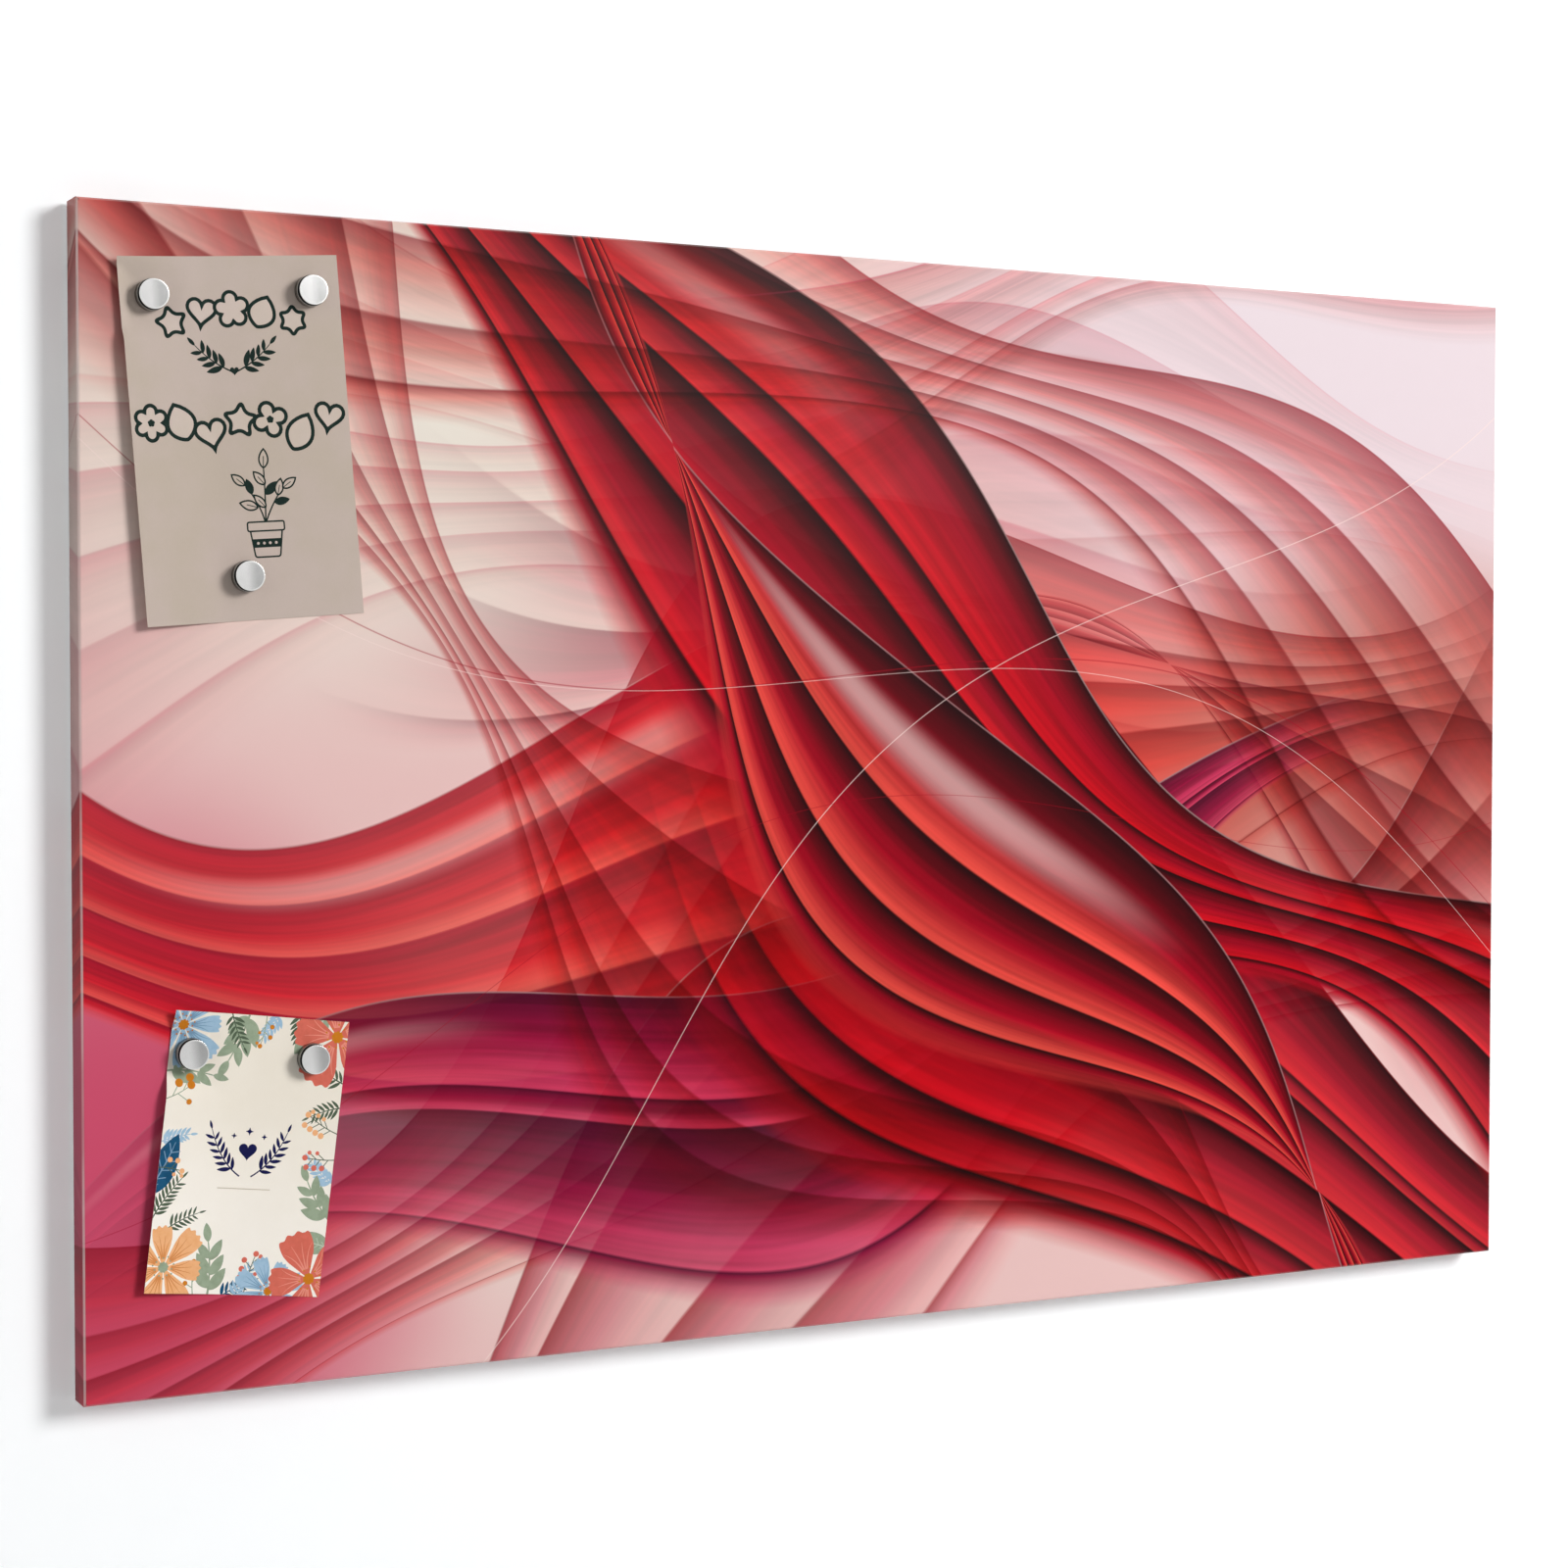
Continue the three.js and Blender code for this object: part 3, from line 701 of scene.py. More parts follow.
quarter = math.pi / 2  # a quarter turn
steel = foldValues["steelThickness"] * mm
film = foldValues["filmThickness"] * mm
bend = foldValues["bendRadius"] * mm
steps = foldValues["bendSteps"]
inset = trayLow.x - filmLow.x  # steel's outer side from the film's
bendMiddle = inset + bend
frontMiddle = (bendMiddle, trayLow.y + bend)
backMiddle = (bendMiddle, trayHigh.y - bend)
lipEnd = inset + foldValues["lipWidth"] * mm


def traySection(radius, back, face):
    return [(bendMiddle, trayLow.y + face), *arc(frontMiddle, radius, -quarter, -2 * quarter, steps)[1:],
            *arc(backMiddle, radius, 2 * quarter, quarter, steps), (lipEnd, back)]


tray = foldedSheet("trayShell", traySection(bend, trayHigh.y, 0),
                   traySection(bend - steel, trayHigh.y - steel, steel), finishes["powder"])
filmShell = foldedSheet(
    "filmShell",
    [*arc(frontMiddle, bend + inset, -quarter, -2 * quarter, steps), (0, filmHigh.y)],
    [*arc(frontMiddle, bend + inset - film, -quarter, -2 * quarter, steps), (film, filmHigh.y)],
    finishes["film"],
)
joined(filmShell, "board", "printed_film", ["print_film"])


# Rivets, their holes and the corner hangers. Millimetres.
hangerValues = {
    "cornerRadius": 3,
    "toe": 25,
    "keyholeInset": 42,
    "headDiameter": 11,
    "slotWidth": 6,
    "slotLength": 11,
    "rivetHoleDiameter": 3.8,
    "chamfer": 0.12,
    "rivetSides": 40,
    "mandrelDiameter": 1.5,
    "mandrelDepth": 0.55,
    "shankDiameter": 3.2,
    "headRound": 0.3,
}


def middleOf(node):
    low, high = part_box(node)
    return (low + high) / 2


def axisOf(node):
    # the foot of a turned piece's own axis on the wall plane
    middle = middleOf(node)
    return Vector((middle.x, 0, middle.z))


def inMetres(values):
    return {name: value * mm for name, value in values.items()}


def circle(centreX, centreY, radius, steps):
    return arc((centreX, centreY), radius, 0, 2 * math.pi, steps)[:-1]


def cutHoles(piece, holes, radius, low, high):
    # round holes along Y through a closed shell
    shape = bmesh.new()
    for x, z in holes:
        place = Matrix.Translation((x, (low + high) / 2, z)) @ Matrix.Rotation(quarter, 4, "X")
        bmesh.ops.create_cone(shape, cap_ends=True, segments=32, radius1=radius, radius2=radius,
                              depth=high - low, matrix=place)
    mesh = bpy.data.meshes.new("cutter")
    shape.to_mesh(mesh)
    shape.free()
    cutter = bpy.data.objects.new("cutter", mesh)
    bpy.context.scene.collection.objects.link(cutter)
    cut = piece.modifiers.new("holes", "BOOLEAN")
    cut.object = cutter
    cut.solver = "EXACT"
    bpy.context.view_layer.update()
    ready = bpy.data.meshes.new_from_object(piece.evaluated_get(bpy.context.evaluated_depsgraph_get()))
    piece.modifiers.clear()
    piece.data = ready
    bpy.data.objects.remove(cutter)


rivetNodes = [f"rivet_{corner}_{i}" for corner in corners for i in (1, 2)]
cutHoles(tray, [(middleOf(node).x, middleOf(node).z) for node in rivetNodes],
         hangerValues["rivetHoleDiameter"] / 2 * mm, trayHigh.y - 2 * steel, trayHigh.y + steel)
joined(tray, "board", "tray_steel", ["steel_tray"])
print("tray and film made")


def makeHanger(corner):
    values = inMetres(hangerValues)
    signX, signZ = corners[corner]
    low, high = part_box(f"hanger_plate_{corner}")
    near = filmHigh.x - max(abs(low.x), abs(high.x))
    leg = filmHigh.x - min(abs(low.x), abs(high.x))
    toe = values["toe"]
    outline = softened([(near, near), (leg, near), (leg, toe), (toe, leg), (near, leg)],
                       values["cornerRadius"], 6)
    centre, reach = values["keyholeInset"], values["keyholeInset"] - values["slotLength"]
    wide, head = values["slotWidth"] / 2, values["headDiameter"] / 2
    lean = math.asin(wide / head)
    keyhole = [*arc((centre, centre), head, -quarter + lean, 2 * quarter - lean, 20),
               *arc((reach, centre), wide, quarter, 3 * quarter, 12),
               *arc((centre, centre), head, 2 * quarter + lean, 3 * quarter - lean, 4),
               *arc((centre, reach), wide, 2 * quarter, 4 * quarter, 12)]
    holes = [keyhole]
    for i in (1, 2):
        middle = middleOf(f"rivet_{corner}_{i}")
        place = (filmHigh.x - abs(middle.x), filmHigh.z - abs(middle.z))
        holes.append(circle(*place, values["rivetHoleDiameter"] / 2, 24))

    def place(p, q, level):
        return (signX * (filmHigh.x - p), level, signZ * (filmHigh.z - q))

    plate = prism(f"hangerPlate.{corner}", [outline, *holes], low.y, high.y, values["chamfer"], place,
                  finishes["zinc"])
    joined(plate, "board", "hanger_steel", [f"hanger_plate_{corner}"])


def makeRivet(node):
    # from the pressed tail inside the tray through the plate and the lip to the domed head
    values = inMetres(hangerValues)
    low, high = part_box(node)
    radius = (high.x - low.x) / 2
    shank, mandrel = values["shankDiameter"] / 2, values["mandrelDiameter"] / 2
    lip, seat = trayHigh.y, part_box("hanger_plate_top_left")[0].y
    tail = seat - low.y
    pressed = [(1.1 * mandrel, low.y), (0.74 * radius, low.y + 0.1 * tail),
               (0.78 * radius, seat - 0.3 * tail), (0.74 * radius, seat), (shank, seat)]
    dome = [(radius * math.cos(a), lip + (high.y - lip) * (0.25 + 0.75 * math.sin(a)))
            for a in [quarter * k / 8 for k in range(6)]]
    profile = [
        (0, low.y + 0.25 * tail), (mandrel, low.y + 0.25 * tail), (1.1 * mandrel, low.y),
        *softened(pressed, values["headRound"], 4, closed=False)[1:],
        (shank, lip), (0.97 * radius, lip), *dome,
        (1.15 * mandrel, high.y), (mandrel, high.y - 0.05 * mm), (mandrel, high.y - 0.5 * mm),
        (0, high.y - values["mandrelDepth"]),
    ]
    name = "rivet." + node.removeprefix("rivet_")
    rivet = turned(name, profile, hangerValues["rivetSides"], axisOf(node), ["aluminium"])
    joined(rivet, "board", "rivet_metal", [node])


# Wall pads. Millimetres.
padValues = {"edgeRound": 0.6, "ringRadius": 3.4, "ringWidth": 0.7, "ringDepth": 0.25, "sides": 64}


def makeWallPad(corner):
    values = inMetres(padValues)
    low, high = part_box(f"wall_pad_{corner}")
    radius = (high.x - low.x) / 2
    ring, wide, deep = values["ringRadius"], values["ringWidth"] / 2, high.y - values["ringDepth"]
    profile = softened([
        (0, low.y), (radius, low.y), (radius, high.y), (ring + wide, high.y), (ring + 0.5 * wide, deep),
        (ring - 0.5 * wide, deep), (ring - wide, high.y), (0, high.y),
    ], values["edgeRound"], 5, closed=False)
    node = f"wall_pad_{corner}"
    pad = turned(f"wallPad.{corner}", profile, padValues["sides"], axisOf(node), ["rubber"])
    joined(pad, "board", "pad_rubber", [node])


# Stiffener rails and their tape. Millimetres.
railValues = {"crownWidth": 22, "thickness": 0.8, "bendRadius": 1.4, "chamfer": 0.08, "tapeRound": 0.15}


def makeRail(side):
    values = inMetres(railValues)
    low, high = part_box(f"stiffener_rail_{side}")
    middle = (low.x + high.x) / 2
    halfRail = (high.x - low.x) / 2
    halfCrown, thickness = values["crownWidth"] / 2, values["thickness"]
    outer = [(halfRail, low.y + thickness), (halfCrown, low.y + thickness), (halfCrown, high.y)]
    hollow = halfCrown - thickness
    inner = [(hollow, high.y - thickness), (hollow, low.y), (halfRail, low.y)]
    wide, tight = values["bendRadius"], values["bendRadius"] - thickness
    outerLine = softened(outer + [(-x, y) for x, y in reversed(outer)],
                         [0, tight, wide, wide, tight, 0], 6, closed=False)
    innerLine = softened([(-x, y) for x, y in reversed(inner)] + inner,
                         [0, wide, tight, tight, wide, 0], 6, closed=False)

    def place(p, q, level):
        return (middle + p, q, level)

    rail = prism(f"stiffenerRail.{side}", [outerLine + innerLine], low.z, high.z, values["chamfer"],
                 place, finishes["zinc"])
    joined(rail, "board", "hanger_steel", [f"stiffener_rail_{side}"])
    for edge in ("outer", "inner"):
        node = f"rail_tape_{side}_{edge}"
        low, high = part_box(node)
        outline = softened([(low.x, low.y), (high.x, low.y), (high.x, high.y), (low.x, high.y)],
                           values["tapeRound"], 3)
        tape = prism(f"railTape.{side}.{edge}", [outline], low.z, high.z, values["tapeRound"],
                     lambda p, q, level: (p, q, level), finishes["tape"])
        joined(tape, "board", "mounting_tape", [node])


for cornerName in corners:
    makeHanger(cornerName)
    makeWallPad(cornerName)
for rivetNode in rivetNodes:
    makeRivet(rivetNode)
for sideName in ("left", "right"):
    makeRail(sideName)
print("hangers, rivets, pads and rails made")


# Magnets. Millimetres.
magnetValues = {
    "sides": 112,
    "edgeRound": 0.3,
    "dish": 0.1,  # how far the face's rim stands behind its crown
    "faceInset": 0.4,  # how much smaller the face's radius is than the ring's behind the groove
    "grooveFromFace": 0.5,
    "grooveWidth": 2.6,
    "grooveDepth": 0.6,
    # how far up from the base the ring is painted black as shade
    "paintedShadeFoot": 0.9,
    "grooveRound": 0.15,
    "wall": 1.6,
    "faceThickness": 2,
    "coreRound": 0.3,
    "padRound": 0.15,
}


def makeDisc(body, part, rounding, finish, slotName):
    # a plain disc with a rounded rim behind the magnet's face
    low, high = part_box(f"{body}_{part}")
    radius = (high.x - low.x) / 2
    outline = softened([(0, low.y), (radius, low.y), (radius, high.y), (0, high.y)], rounding, 4,
                       closed=False)
    middle = middleOf(f"{body}_cap")
    centre = Vector((middle.x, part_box(f"{body}_cap")[0].y, middle.z))
    name = {"core": "core", "base_pad": "basePad"}[part]
    disc = turned(f"{name}.{body}", outline, magnetValues["sides"], centre, [finish])
    joined(disc, body, slotName, [f"{body}_{part}"])


def makeMagnet(body):
    values = inMetres(magnetValues)
    low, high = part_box(f"{body}_cap")
    radius = (high.x - low.x) / 2
    face, base = low.y, high.y
    groove = face + values["grooveFromFace"]
    grooveEnd = groove + values["grooveWidth"]
    faceRadius = radius - values["faceInset"]
    deep = faceRadius - values["grooveDepth"]
    foot = base - values["paintedShadeFoot"]
    recess, top = radius - values["wall"], face + values["faceThickness"]
    middle = middleOf(f"{body}_cap")
    centre = Vector((middle.x, face, middle.z))
    crown = [(faceRadius * 0.94 * k / 6, face + values["dish"] * (k / 6) ** 2) for k in range(7)]
    soft = values["grooveRound"]
    wallLine = [
        crown[-1], (faceRadius, face + values["dish"]), (faceRadius, groove), (deep, groove + soft),
        (deep, grooveEnd - soft), (radius, grooveEnd), (radius, foot), (radius, base), (recess, base),
        (recess, top), (0, top),
    ]
    profile = crown[:-1] + softened(wallLine, values["edgeRound"], 5, closed=False)
    slack = 0.01 * mm

    # the face, then the groove and the ring's foot painted black as shade, then plain steel
    def finishAt(first, last):
        front, back = min(first[1], last[1]), max(first[1], last[1])
        if first[1] < groove and last[1] <= groove + slack:
            return 0
        inGroove = groove - slack <= front and back <= grooveEnd + slack
        return 1 if (inGroove or front >= foot - slack) and first[0] > recess else 2

    cap = turned(f"cap.{body}", profile, magnetValues["sides"], centre,
                 ["satinFace", "paintedShadeBlack", "cupSteel"], finishAt)
    joined(cap, body, "magnet_cap_steel", [f"{body}_cap"])
    makeDisc(body, "core", values["coreRound"], "nickel", "magnet_core")
    makeDisc(body, "base_pad", values["padRound"], "rubber", "base_pad_rubber")


magnets = {
    "tall_card": [f"tall_card_magnet_{i}" for i in (1, 2, 3)],
    "small_card": [f"small_card_magnet_{i}" for i in (1, 2)],
}
for cardMagnets in magnets.values():
    for magnetBody in cardMagnets:
        makeMagnet(magnetBody)
print("magnets made")


# Outlines of the printed motifs, one unit long or wide from their root or middle
def placed(points, x, y, size=1.0, turn=0.0):
    cosine, sine = size * math.cos(math.radians(turn)), size * math.sin(math.radians(turn))
    return [(x + p * cosine - q * sine, y + p * sine + q * cosine) for p, q in points]


def starShape(tips=5, inner=0.52):
    points = []
    for i in range(2 * tips):
        reach = 1 if i % 2 == 0 else inner
        angle = math.pi * i / tips + quarter
        points.append((reach * math.cos(angle), reach * math.sin(angle)))
    return softened(points, 0.26, 5)


def heartShape(count=36):
    # the points beside the tip and the notch are left out, where the outline folds back on itself
    points = []
    for i in range(count):
        if i % (count // 2) in (1, count // 2 - 1):
            continue
        t = 2 * math.pi * i / count
        rise = 13 * math.cos(t) - 5 * math.cos(2 * t) - 2 * math.cos(3 * t) - math.cos(4 * t)
        points.append((math.sin(t) ** 3 * 0.95, rise / 16.5 + 0.12))
    return points


def blossomShape(petals, depth=0.34):
    points = []
    for i in range(10 * petals):
        angle = 2 * math.pi * i / (10 * petals)
        reach = 1 - depth + depth * abs(math.cos(petals * angle / 2)) ** 0.75
        points.append((reach * math.sin(angle), reach * math.cos(angle)))
    return points


def leafShape(wide=0.4, curve=0.0, count=14):
    # its points lie closer together towards the round base
    left, right = [], []
    for i in range(count + 1):
        s = 1 - math.cos(quarter * i / count)
        side = wide / 2 * abs(math.sin(math.pi * s ** 0.85)) ** 0.8
        left.append((curve * s * s - side, s))
        right.append((curve * s * s + side, s))
    return left + right[-2:0:-1]


def petalShape(spread, notch=0.06, count=32):
    points = [(0, 0)]
    for i in range(1, count):
        share = 2 * i / count - 1
        reach = (1 - abs(share) ** 5) ** 0.45 * (1 - notch * math.cos(2.5 * math.pi * share) ** 2)
        angle = math.radians(share * spread)
        points.append((reach * math.sin(angle), reach * math.cos(angle)))
    return points


def curveLine(start, bent, end, count=12):
    points = []
    for t in [i / count for i in range(count + 1)]:
        points.append(tuple((1 - t) ** 2 * a + 2 * t * (1 - t) * b + t * t * c
                            for a, b, c in zip(start, bent, end)))
    return points


def stroke(points, width, tip=1.0):
    # a line with a body, from its full width at the start to a share of it at the tip
    left, right = [], []
    last = len(points) - 1
    for i, (x, y) in enumerate(points):
        (fromX, fromY), (toX, toY) = points[max(0, i - 1)], points[min(last, i + 1)]
        size = math.hypot(toX - fromX, toY - fromY)
        reach = width / 2 * (1 + (tip - 1) * i / last) / size
        left.append((x - (toY - fromY) * reach, y + (toX - fromX) * reach))
        right.append((x + (toY - fromY) * reach, y - (toX - fromX) * reach))
    return left + right[::-1]


def offsetLine(points, distance):
    # grown, without the points that fold back over their neighbours at a sharp tip or notch
    starts = np.array(points)
    edges = np.roll(starts, -1, axis=0) - starts
    kept = []
    for point in grown(points, distance):
        share = ((point - starts) * edges).sum(axis=1) / np.maximum((edges * edges).sum(axis=1), 1e-12)
        nearest = starts + np.clip(share, 0, 1)[:, None] * edges
        if np.hypot(*(nearest - point).T).min() > 0.95 * abs(distance):
            kept.append(point)
    return kept


# How plants are drawn: shares of a motif's size, stems and stalks in millimetres
plantForm = {
    "petalSpread": 162,  # half of the degrees that a flower's petals fill together
    "petalUnevenness": 0.1,
    "veinLeans": (-0.55, -0.2, 0.2, 0.55),
    "veinWidth": 0.034,
    "centre": 0.13,
    "stamens": (0.26, 0.21),
    "stamenSize": 0.022,
    "ribWidth": 0.03,
    "sideRibWidth": 0.014,
    "berryStem": 0.55,
    "berryStalk": 0.45,
}


# Drawings: lists of (ink, outline), later ones over earlier ones
def drawBubble(sheet, outline, line, ink, fill):
    sheet.append((ink, offsetLine(outline, line / 2)))
    sheet.append((fill, offsetLine(outline, -line / 2)))


def drawFlower(sheet, x, y, size, petals, turn, petalInk, veinInk, centreInk):
    for i in range(petals):
        heading = turn + 360 * i / petals
        reach = size * (1 + plantForm["petalUnevenness"] * math.sin(2.4 * i + x))
        petal = petalShape(plantForm["petalSpread"] / petals)
        sheet.append((petalInk, placed(petal, x, y, reach, heading)))
        for lean in plantForm["veinLeans"]:
            tip = (lean * 1.4 / petals * 2, 0.8 - 0.25 * abs(lean))
            line = curveLine((tip[0] * 0.15, 0.2), (tip[0] * 0.4, 0.5), tip, 5)
            vein = stroke(line, plantForm["veinWidth"], 0.2)
            sheet.append((veinInk, placed(vein, x, y, reach, heading)))
    sheet.append((centreInk, placed(blossomShape(9, 0.2), x, y, plantForm["centre"] * size)))
    for i in range(2 * petals):
        angle = math.pi * i / petals + 0.3
        away = size * plantForm["stamens"][i % 2]
        spot = (x + away * math.cos(angle), y + away * math.sin(angle))
        sheet.append((centreInk, circle(*spot, plantForm["stamenSize"] * size, 8)))


def bentStem(curve, length):
    return [(curve * length * (i / 10) ** 2, length * i / 10) for i in range(11)]


def drawSprig(sheet, x, y, length, heading, curve, pairs, leaf, wide, lean, ink):
    stem = bentStem(curve, length)
    parts = [stroke(stem, 0.055 * leaf + 0.35, 0.5)]
    for i in range(pairs):
        s = 0.2 + 0.75 * i / pairs
        bent = math.degrees(math.atan(2 * curve * s))
        for side in (-1, 1):
            reach = leaf * (1 - 0.4 * s) * (1 + 0.08 * math.sin(5 * i + side))
            at = min(1.0, s + (0.03 if side > 0 else 0))
            root = (curve * length * at * at, length * at)
            parts.append(placed(leafShape(wide, 0.12 * side), *root, reach, side * lean - bent))
    parts.append(placed(leafShape(wide), *stem[-1], leaf * 0.62, -math.degrees(math.atan(2 * curve))))
    sheet.extend((ink, placed(part, x, y, 1, heading)) for part in parts)


def drawLaurel(sheet, values, ink):
    # two sprigs that lean apart
    x, y = values["fromMiddle"]
    form = [values[name] for name in ("pairs", "leaf", "wide", "lean")]
    for side in (-1, 1):
        drawSprig(sheet, x + side * values["apart"], y, values["length"], -side * values["heading"],
                  -side * values["curve"], *form, ink)


def drawBerries(sheet, x, y, length, heading, curve, count, radius, stemInk, berryInk):
    stem = bentStem(curve, length)
    parts = [(stemInk, stroke(stem, plantForm["berryStem"], 0.7))]
    berries = [(berryInk, circle(*stem[-1], radius, 20))]
    for i in range(count):
        s = 0.35 + 0.55 * i / count
        root = (curve * length * s * s, length * s)
        side = 1 if i % 2 else -1
        tip = (root[0] + side * 2.6 * radius, root[1] + 2.4 * radius)
        parts.append((stemInk, stroke([root, tip], plantForm["berryStalk"])))
        berries.append((berryInk, circle(*tip, radius * (0.85 + 0.15 * math.cos(3 * i)), 20)))
    sheet.extend((ink, placed(part, x, y, 1, heading)) for ink, part in parts + berries)


def drawBroadLeaf(sheet, x, y, length, heading, wide, curve, ink, ribInk):
    sheet.append((ink, placed(leafShape(wide, curve, 16), x, y, length, heading)))
    ribs = [stroke([(curve * (i / 8) ** 2, i / 8) for i in range(8)], plantForm["ribWidth"], 0.3)]
    for s in [i / 7 for i in range(1, 6)]:
        root = curve * s * s
        for side in (-1, 1):
            tip = (root + side * 0.33 * wide * math.sin(math.pi * s), s + 0.1)
            ribs.append(stroke([(root, s), tip], plantForm["sideRibWidth"]))
    sheet.extend((ribInk, placed(rib, x, y, length, heading)) for rib in ribs)


# Papers and the inks printed on them
def inkFinish(name, tint, shade):
    # watercolour: the tone pools and thins within a shape
    values = plainFinishes["ink"]
    finish, start = newFinish(name)
    place = objectPlace(start)
    pool = smoothStep(noise(place, 260, 4.0, 0.6), 0.36, 0.68)
    tooth = noise(place, 2600, 3.0)
    colour = blended(tone(tint), tone(shade), pool * values["pooling"])
    closeFinish(start, colour, middling(tooth, *values["roughness"]), 0.0, tooth, values["relief"],
                values["specular"])
    return finish


tallCardInks = {
    "paper": paper("taupePaper", "c5b4aa", "bcae9c", 0.03),
    "ink": inkFinish("inkDark", "1b2925", "26352f"),
    "fill": paper("taupeFill", "cfbeb4", "c6b8a7", 0.03),
}
# the cream card is paler towards its foot; metres on the board, the lean as a share
creamShift = {"middle": -0.366, "lean": 0.35, "fade": (-0.235, -0.13), "share": 0.7}
smallCardInks = {
    "paper": paper("creamCard", "fdf6ec", "ede3d2", 0.015, creamShift),
    "coral": inkFinish("inkCoral", "dd705f", "cb6552"),
    "coralVein": inkFinish("inkCoralVein", "ea9482", "e58b78"),
    "blue": inkFinish("inkBlue", "a6c4da", "8fb3cd"),
    "blueVein": inkFinish("inkBlueVein", "7d9fbb", "7193b0"),
    "sage": inkFinish("inkSage", "9dab92", "86957b"),
    "sageVein": inkFinish("inkSageVein", "c2ccb8", "b6c1ab"),
    "fern": inkFinish("inkFern", "55644f", "465442"),
    "ochre": inkFinish("inkOchre", "d08024", "c26f17"),
    "peach": inkFinish("inkPeach", "f3b683", "eca467"),
    "peachVein": inkFinish("inkPeachVein", "dc8f55", "d4864b"),
    "teal": inkFinish("inkTeal", "1f5578", "17425f"),
    "navy": inkFinish("inkNavy", "1a1b4d", "141540"),
    "rule": inkFinish("inkRule", "c9bda9", "bfb29d"),
}


# Tall card's drawing: outlined shapes, a laurel and a potted plant. Millimetres from the card's middle.
tallCardDrawing = {
    "topRow": {
        "fromMiddle": (0, 62), "spacing": 15.8, "arch": 3, "size": 8.6, "line": 1.8,
        "sizes": (1, 0.92, 1.04, 0.98, 0.9), "turns": (12, -8, 6, -24, 0), "eyed": (),
    },
    "wideRow": {
        "fromMiddle": (0, 7), "spacing": 15.6, "wave": 4.5, "size": 8.8, "line": 1.9,
        "sizes": (1, 1.05, 0.95, 1.06, 1, 1.1, 0.9), "turns": (0, 20, 10, -6, 18, -28, -12),
        "eyed": (0, 4),
    },
    "laurel": {"fromMiddle": (-1, 34), "apart": 1.5, "length": 22, "heading": 66, "curve": 0.22,
               "pairs": 4, "leaf": 9, "wide": 0.36, "lean": 52, "heart": 2.4},
    "plant": {
        "fromMiddle": (9, -58),
        "size": 1.05,
        "line": 0.8,
        "stems": [
            ((0, 14), (-2, 24), (-9, 33)), ((0, 14), (1, 27), (1, 42)), ((0, 14), (4, 24), (10, 31)),
        ],
        # x, y, size, heading, width share
        "leaves": [
            (-3.4, 22, 9, 74, 0.5), (-5.6, 28.4, 8, 18, 0.5), (-9, 33, 8, 50, 0.5),
            (0.6, 22, 8, 42, 0.46), (1, 28, 9, -46, 0.5), (1, 33, 8, 40, 0.5), (1, 41, 9, -4, 0.5),
            (5.2, 24, 8, -80, 0.5), (7.2, 27.6, 8, -14, 0.5), (10, 31, 8, -56, 0.5),
        ],
        "pot": [(-8, 11), (8, 11), (6.2, -2), (-6.2, -2)],
        "collar": [(-9.2, 15), (9.2, 15), (9.2, 10.6), (-9.2, 10.6)],
        "band": [(-7.25, 6.8), (7.25, 6.8), (6.75, 2.6), (-6.75, 2.6)],
        "dots": [(-4.5, 4.7), (-1.5, 4.7), (1.5, 4.7), (4.5, 4.7)],
    },
}


def drawRow(sheet, values, shapes, rises):
    # outlined shapes side by side; the eyed ones have a small blossom in their middle
    x, y = values["fromMiddle"]
    for i, shape in enumerate(shapes):
        spot = (x + (i - len(shapes) // 2) * values["spacing"], y + rises[i])
        outline = placed(shape, *spot, values["size"] * values["sizes"][i], values["turns"][i])
        drawBubble(sheet, outline, values["line"], "ink", "fill")
        if i in values["eyed"]:
            sheet.append(("ink", placed(blossomShape(5, 0.2), *spot, 0.22 * values["size"])))


def drawPlant(sheet, values):
    line = values["line"]
    parts = [("ink", stroke(curveLine(*stem), line, 0.8)) for stem in values["stems"]]
    for i, (x, y, size, heading, wide) in enumerate(values["leaves"]):
        outline = placed(leafShape(wide), x, y, size, heading)
        if i % 3 == 1:
            parts.append(("ink", outline))
        else:
            drawBubble(parts, outline, line, "ink", "paper")
            parts.append(("ink", placed(stroke([(0, 0), (0, 0.62)], 0.05), x, y, size, heading)))
    for outline in (softened(values["pot"], 1.2, 4), softened(values["collar"], 1, 4)):
        parts.append(("ink", grown(outline, line / 2)))
        parts.append(("paper", grown(outline, -line / 2)))
    parts.append(("ink", values["band"]))
    parts.extend(("paper", circle(*dot, 0.7, 12)) for dot in values["dots"])
    sheet.extend((ink, placed(part, *values["fromMiddle"], values["size"])) for ink, part in parts)


def drawTallCard():
    sheet = []
    top, laurel, wide = [tallCardDrawing[name] for name in ("topRow", "laurel", "wideRow")]
    shapes = [starShape(), heartShape(), blossomShape(5), placed(leafShape(0.85), 0, -0.95, 1.9, 0),
              starShape(6, 0.6)]
    drawRow(sheet, top, shapes, [top["arch"] * (1 - i * i / 2) for i in range(-2, 3)])
    drawLaurel(sheet, laurel, "ink")
    sheet.append(("ink", placed(heartShape(), *laurel["fromMiddle"], laurel["heart"])))
    shapes = [blossomShape(6, 0.3), placed(leafShape(0.8), 0, -1, 2, 0), heartShape(), starShape(5, 0.5),
              blossomShape(4, 0.45), placed(leafShape(0.7), 0, -1, 2, 0), heartShape()]
    drawRow(sheet, wide, shapes, [wide["wave"] * math.sin(2.1 * i + 0.5) for i in range(len(shapes))])
    drawPlant(sheet, tallCardDrawing["plant"])
    return sheet


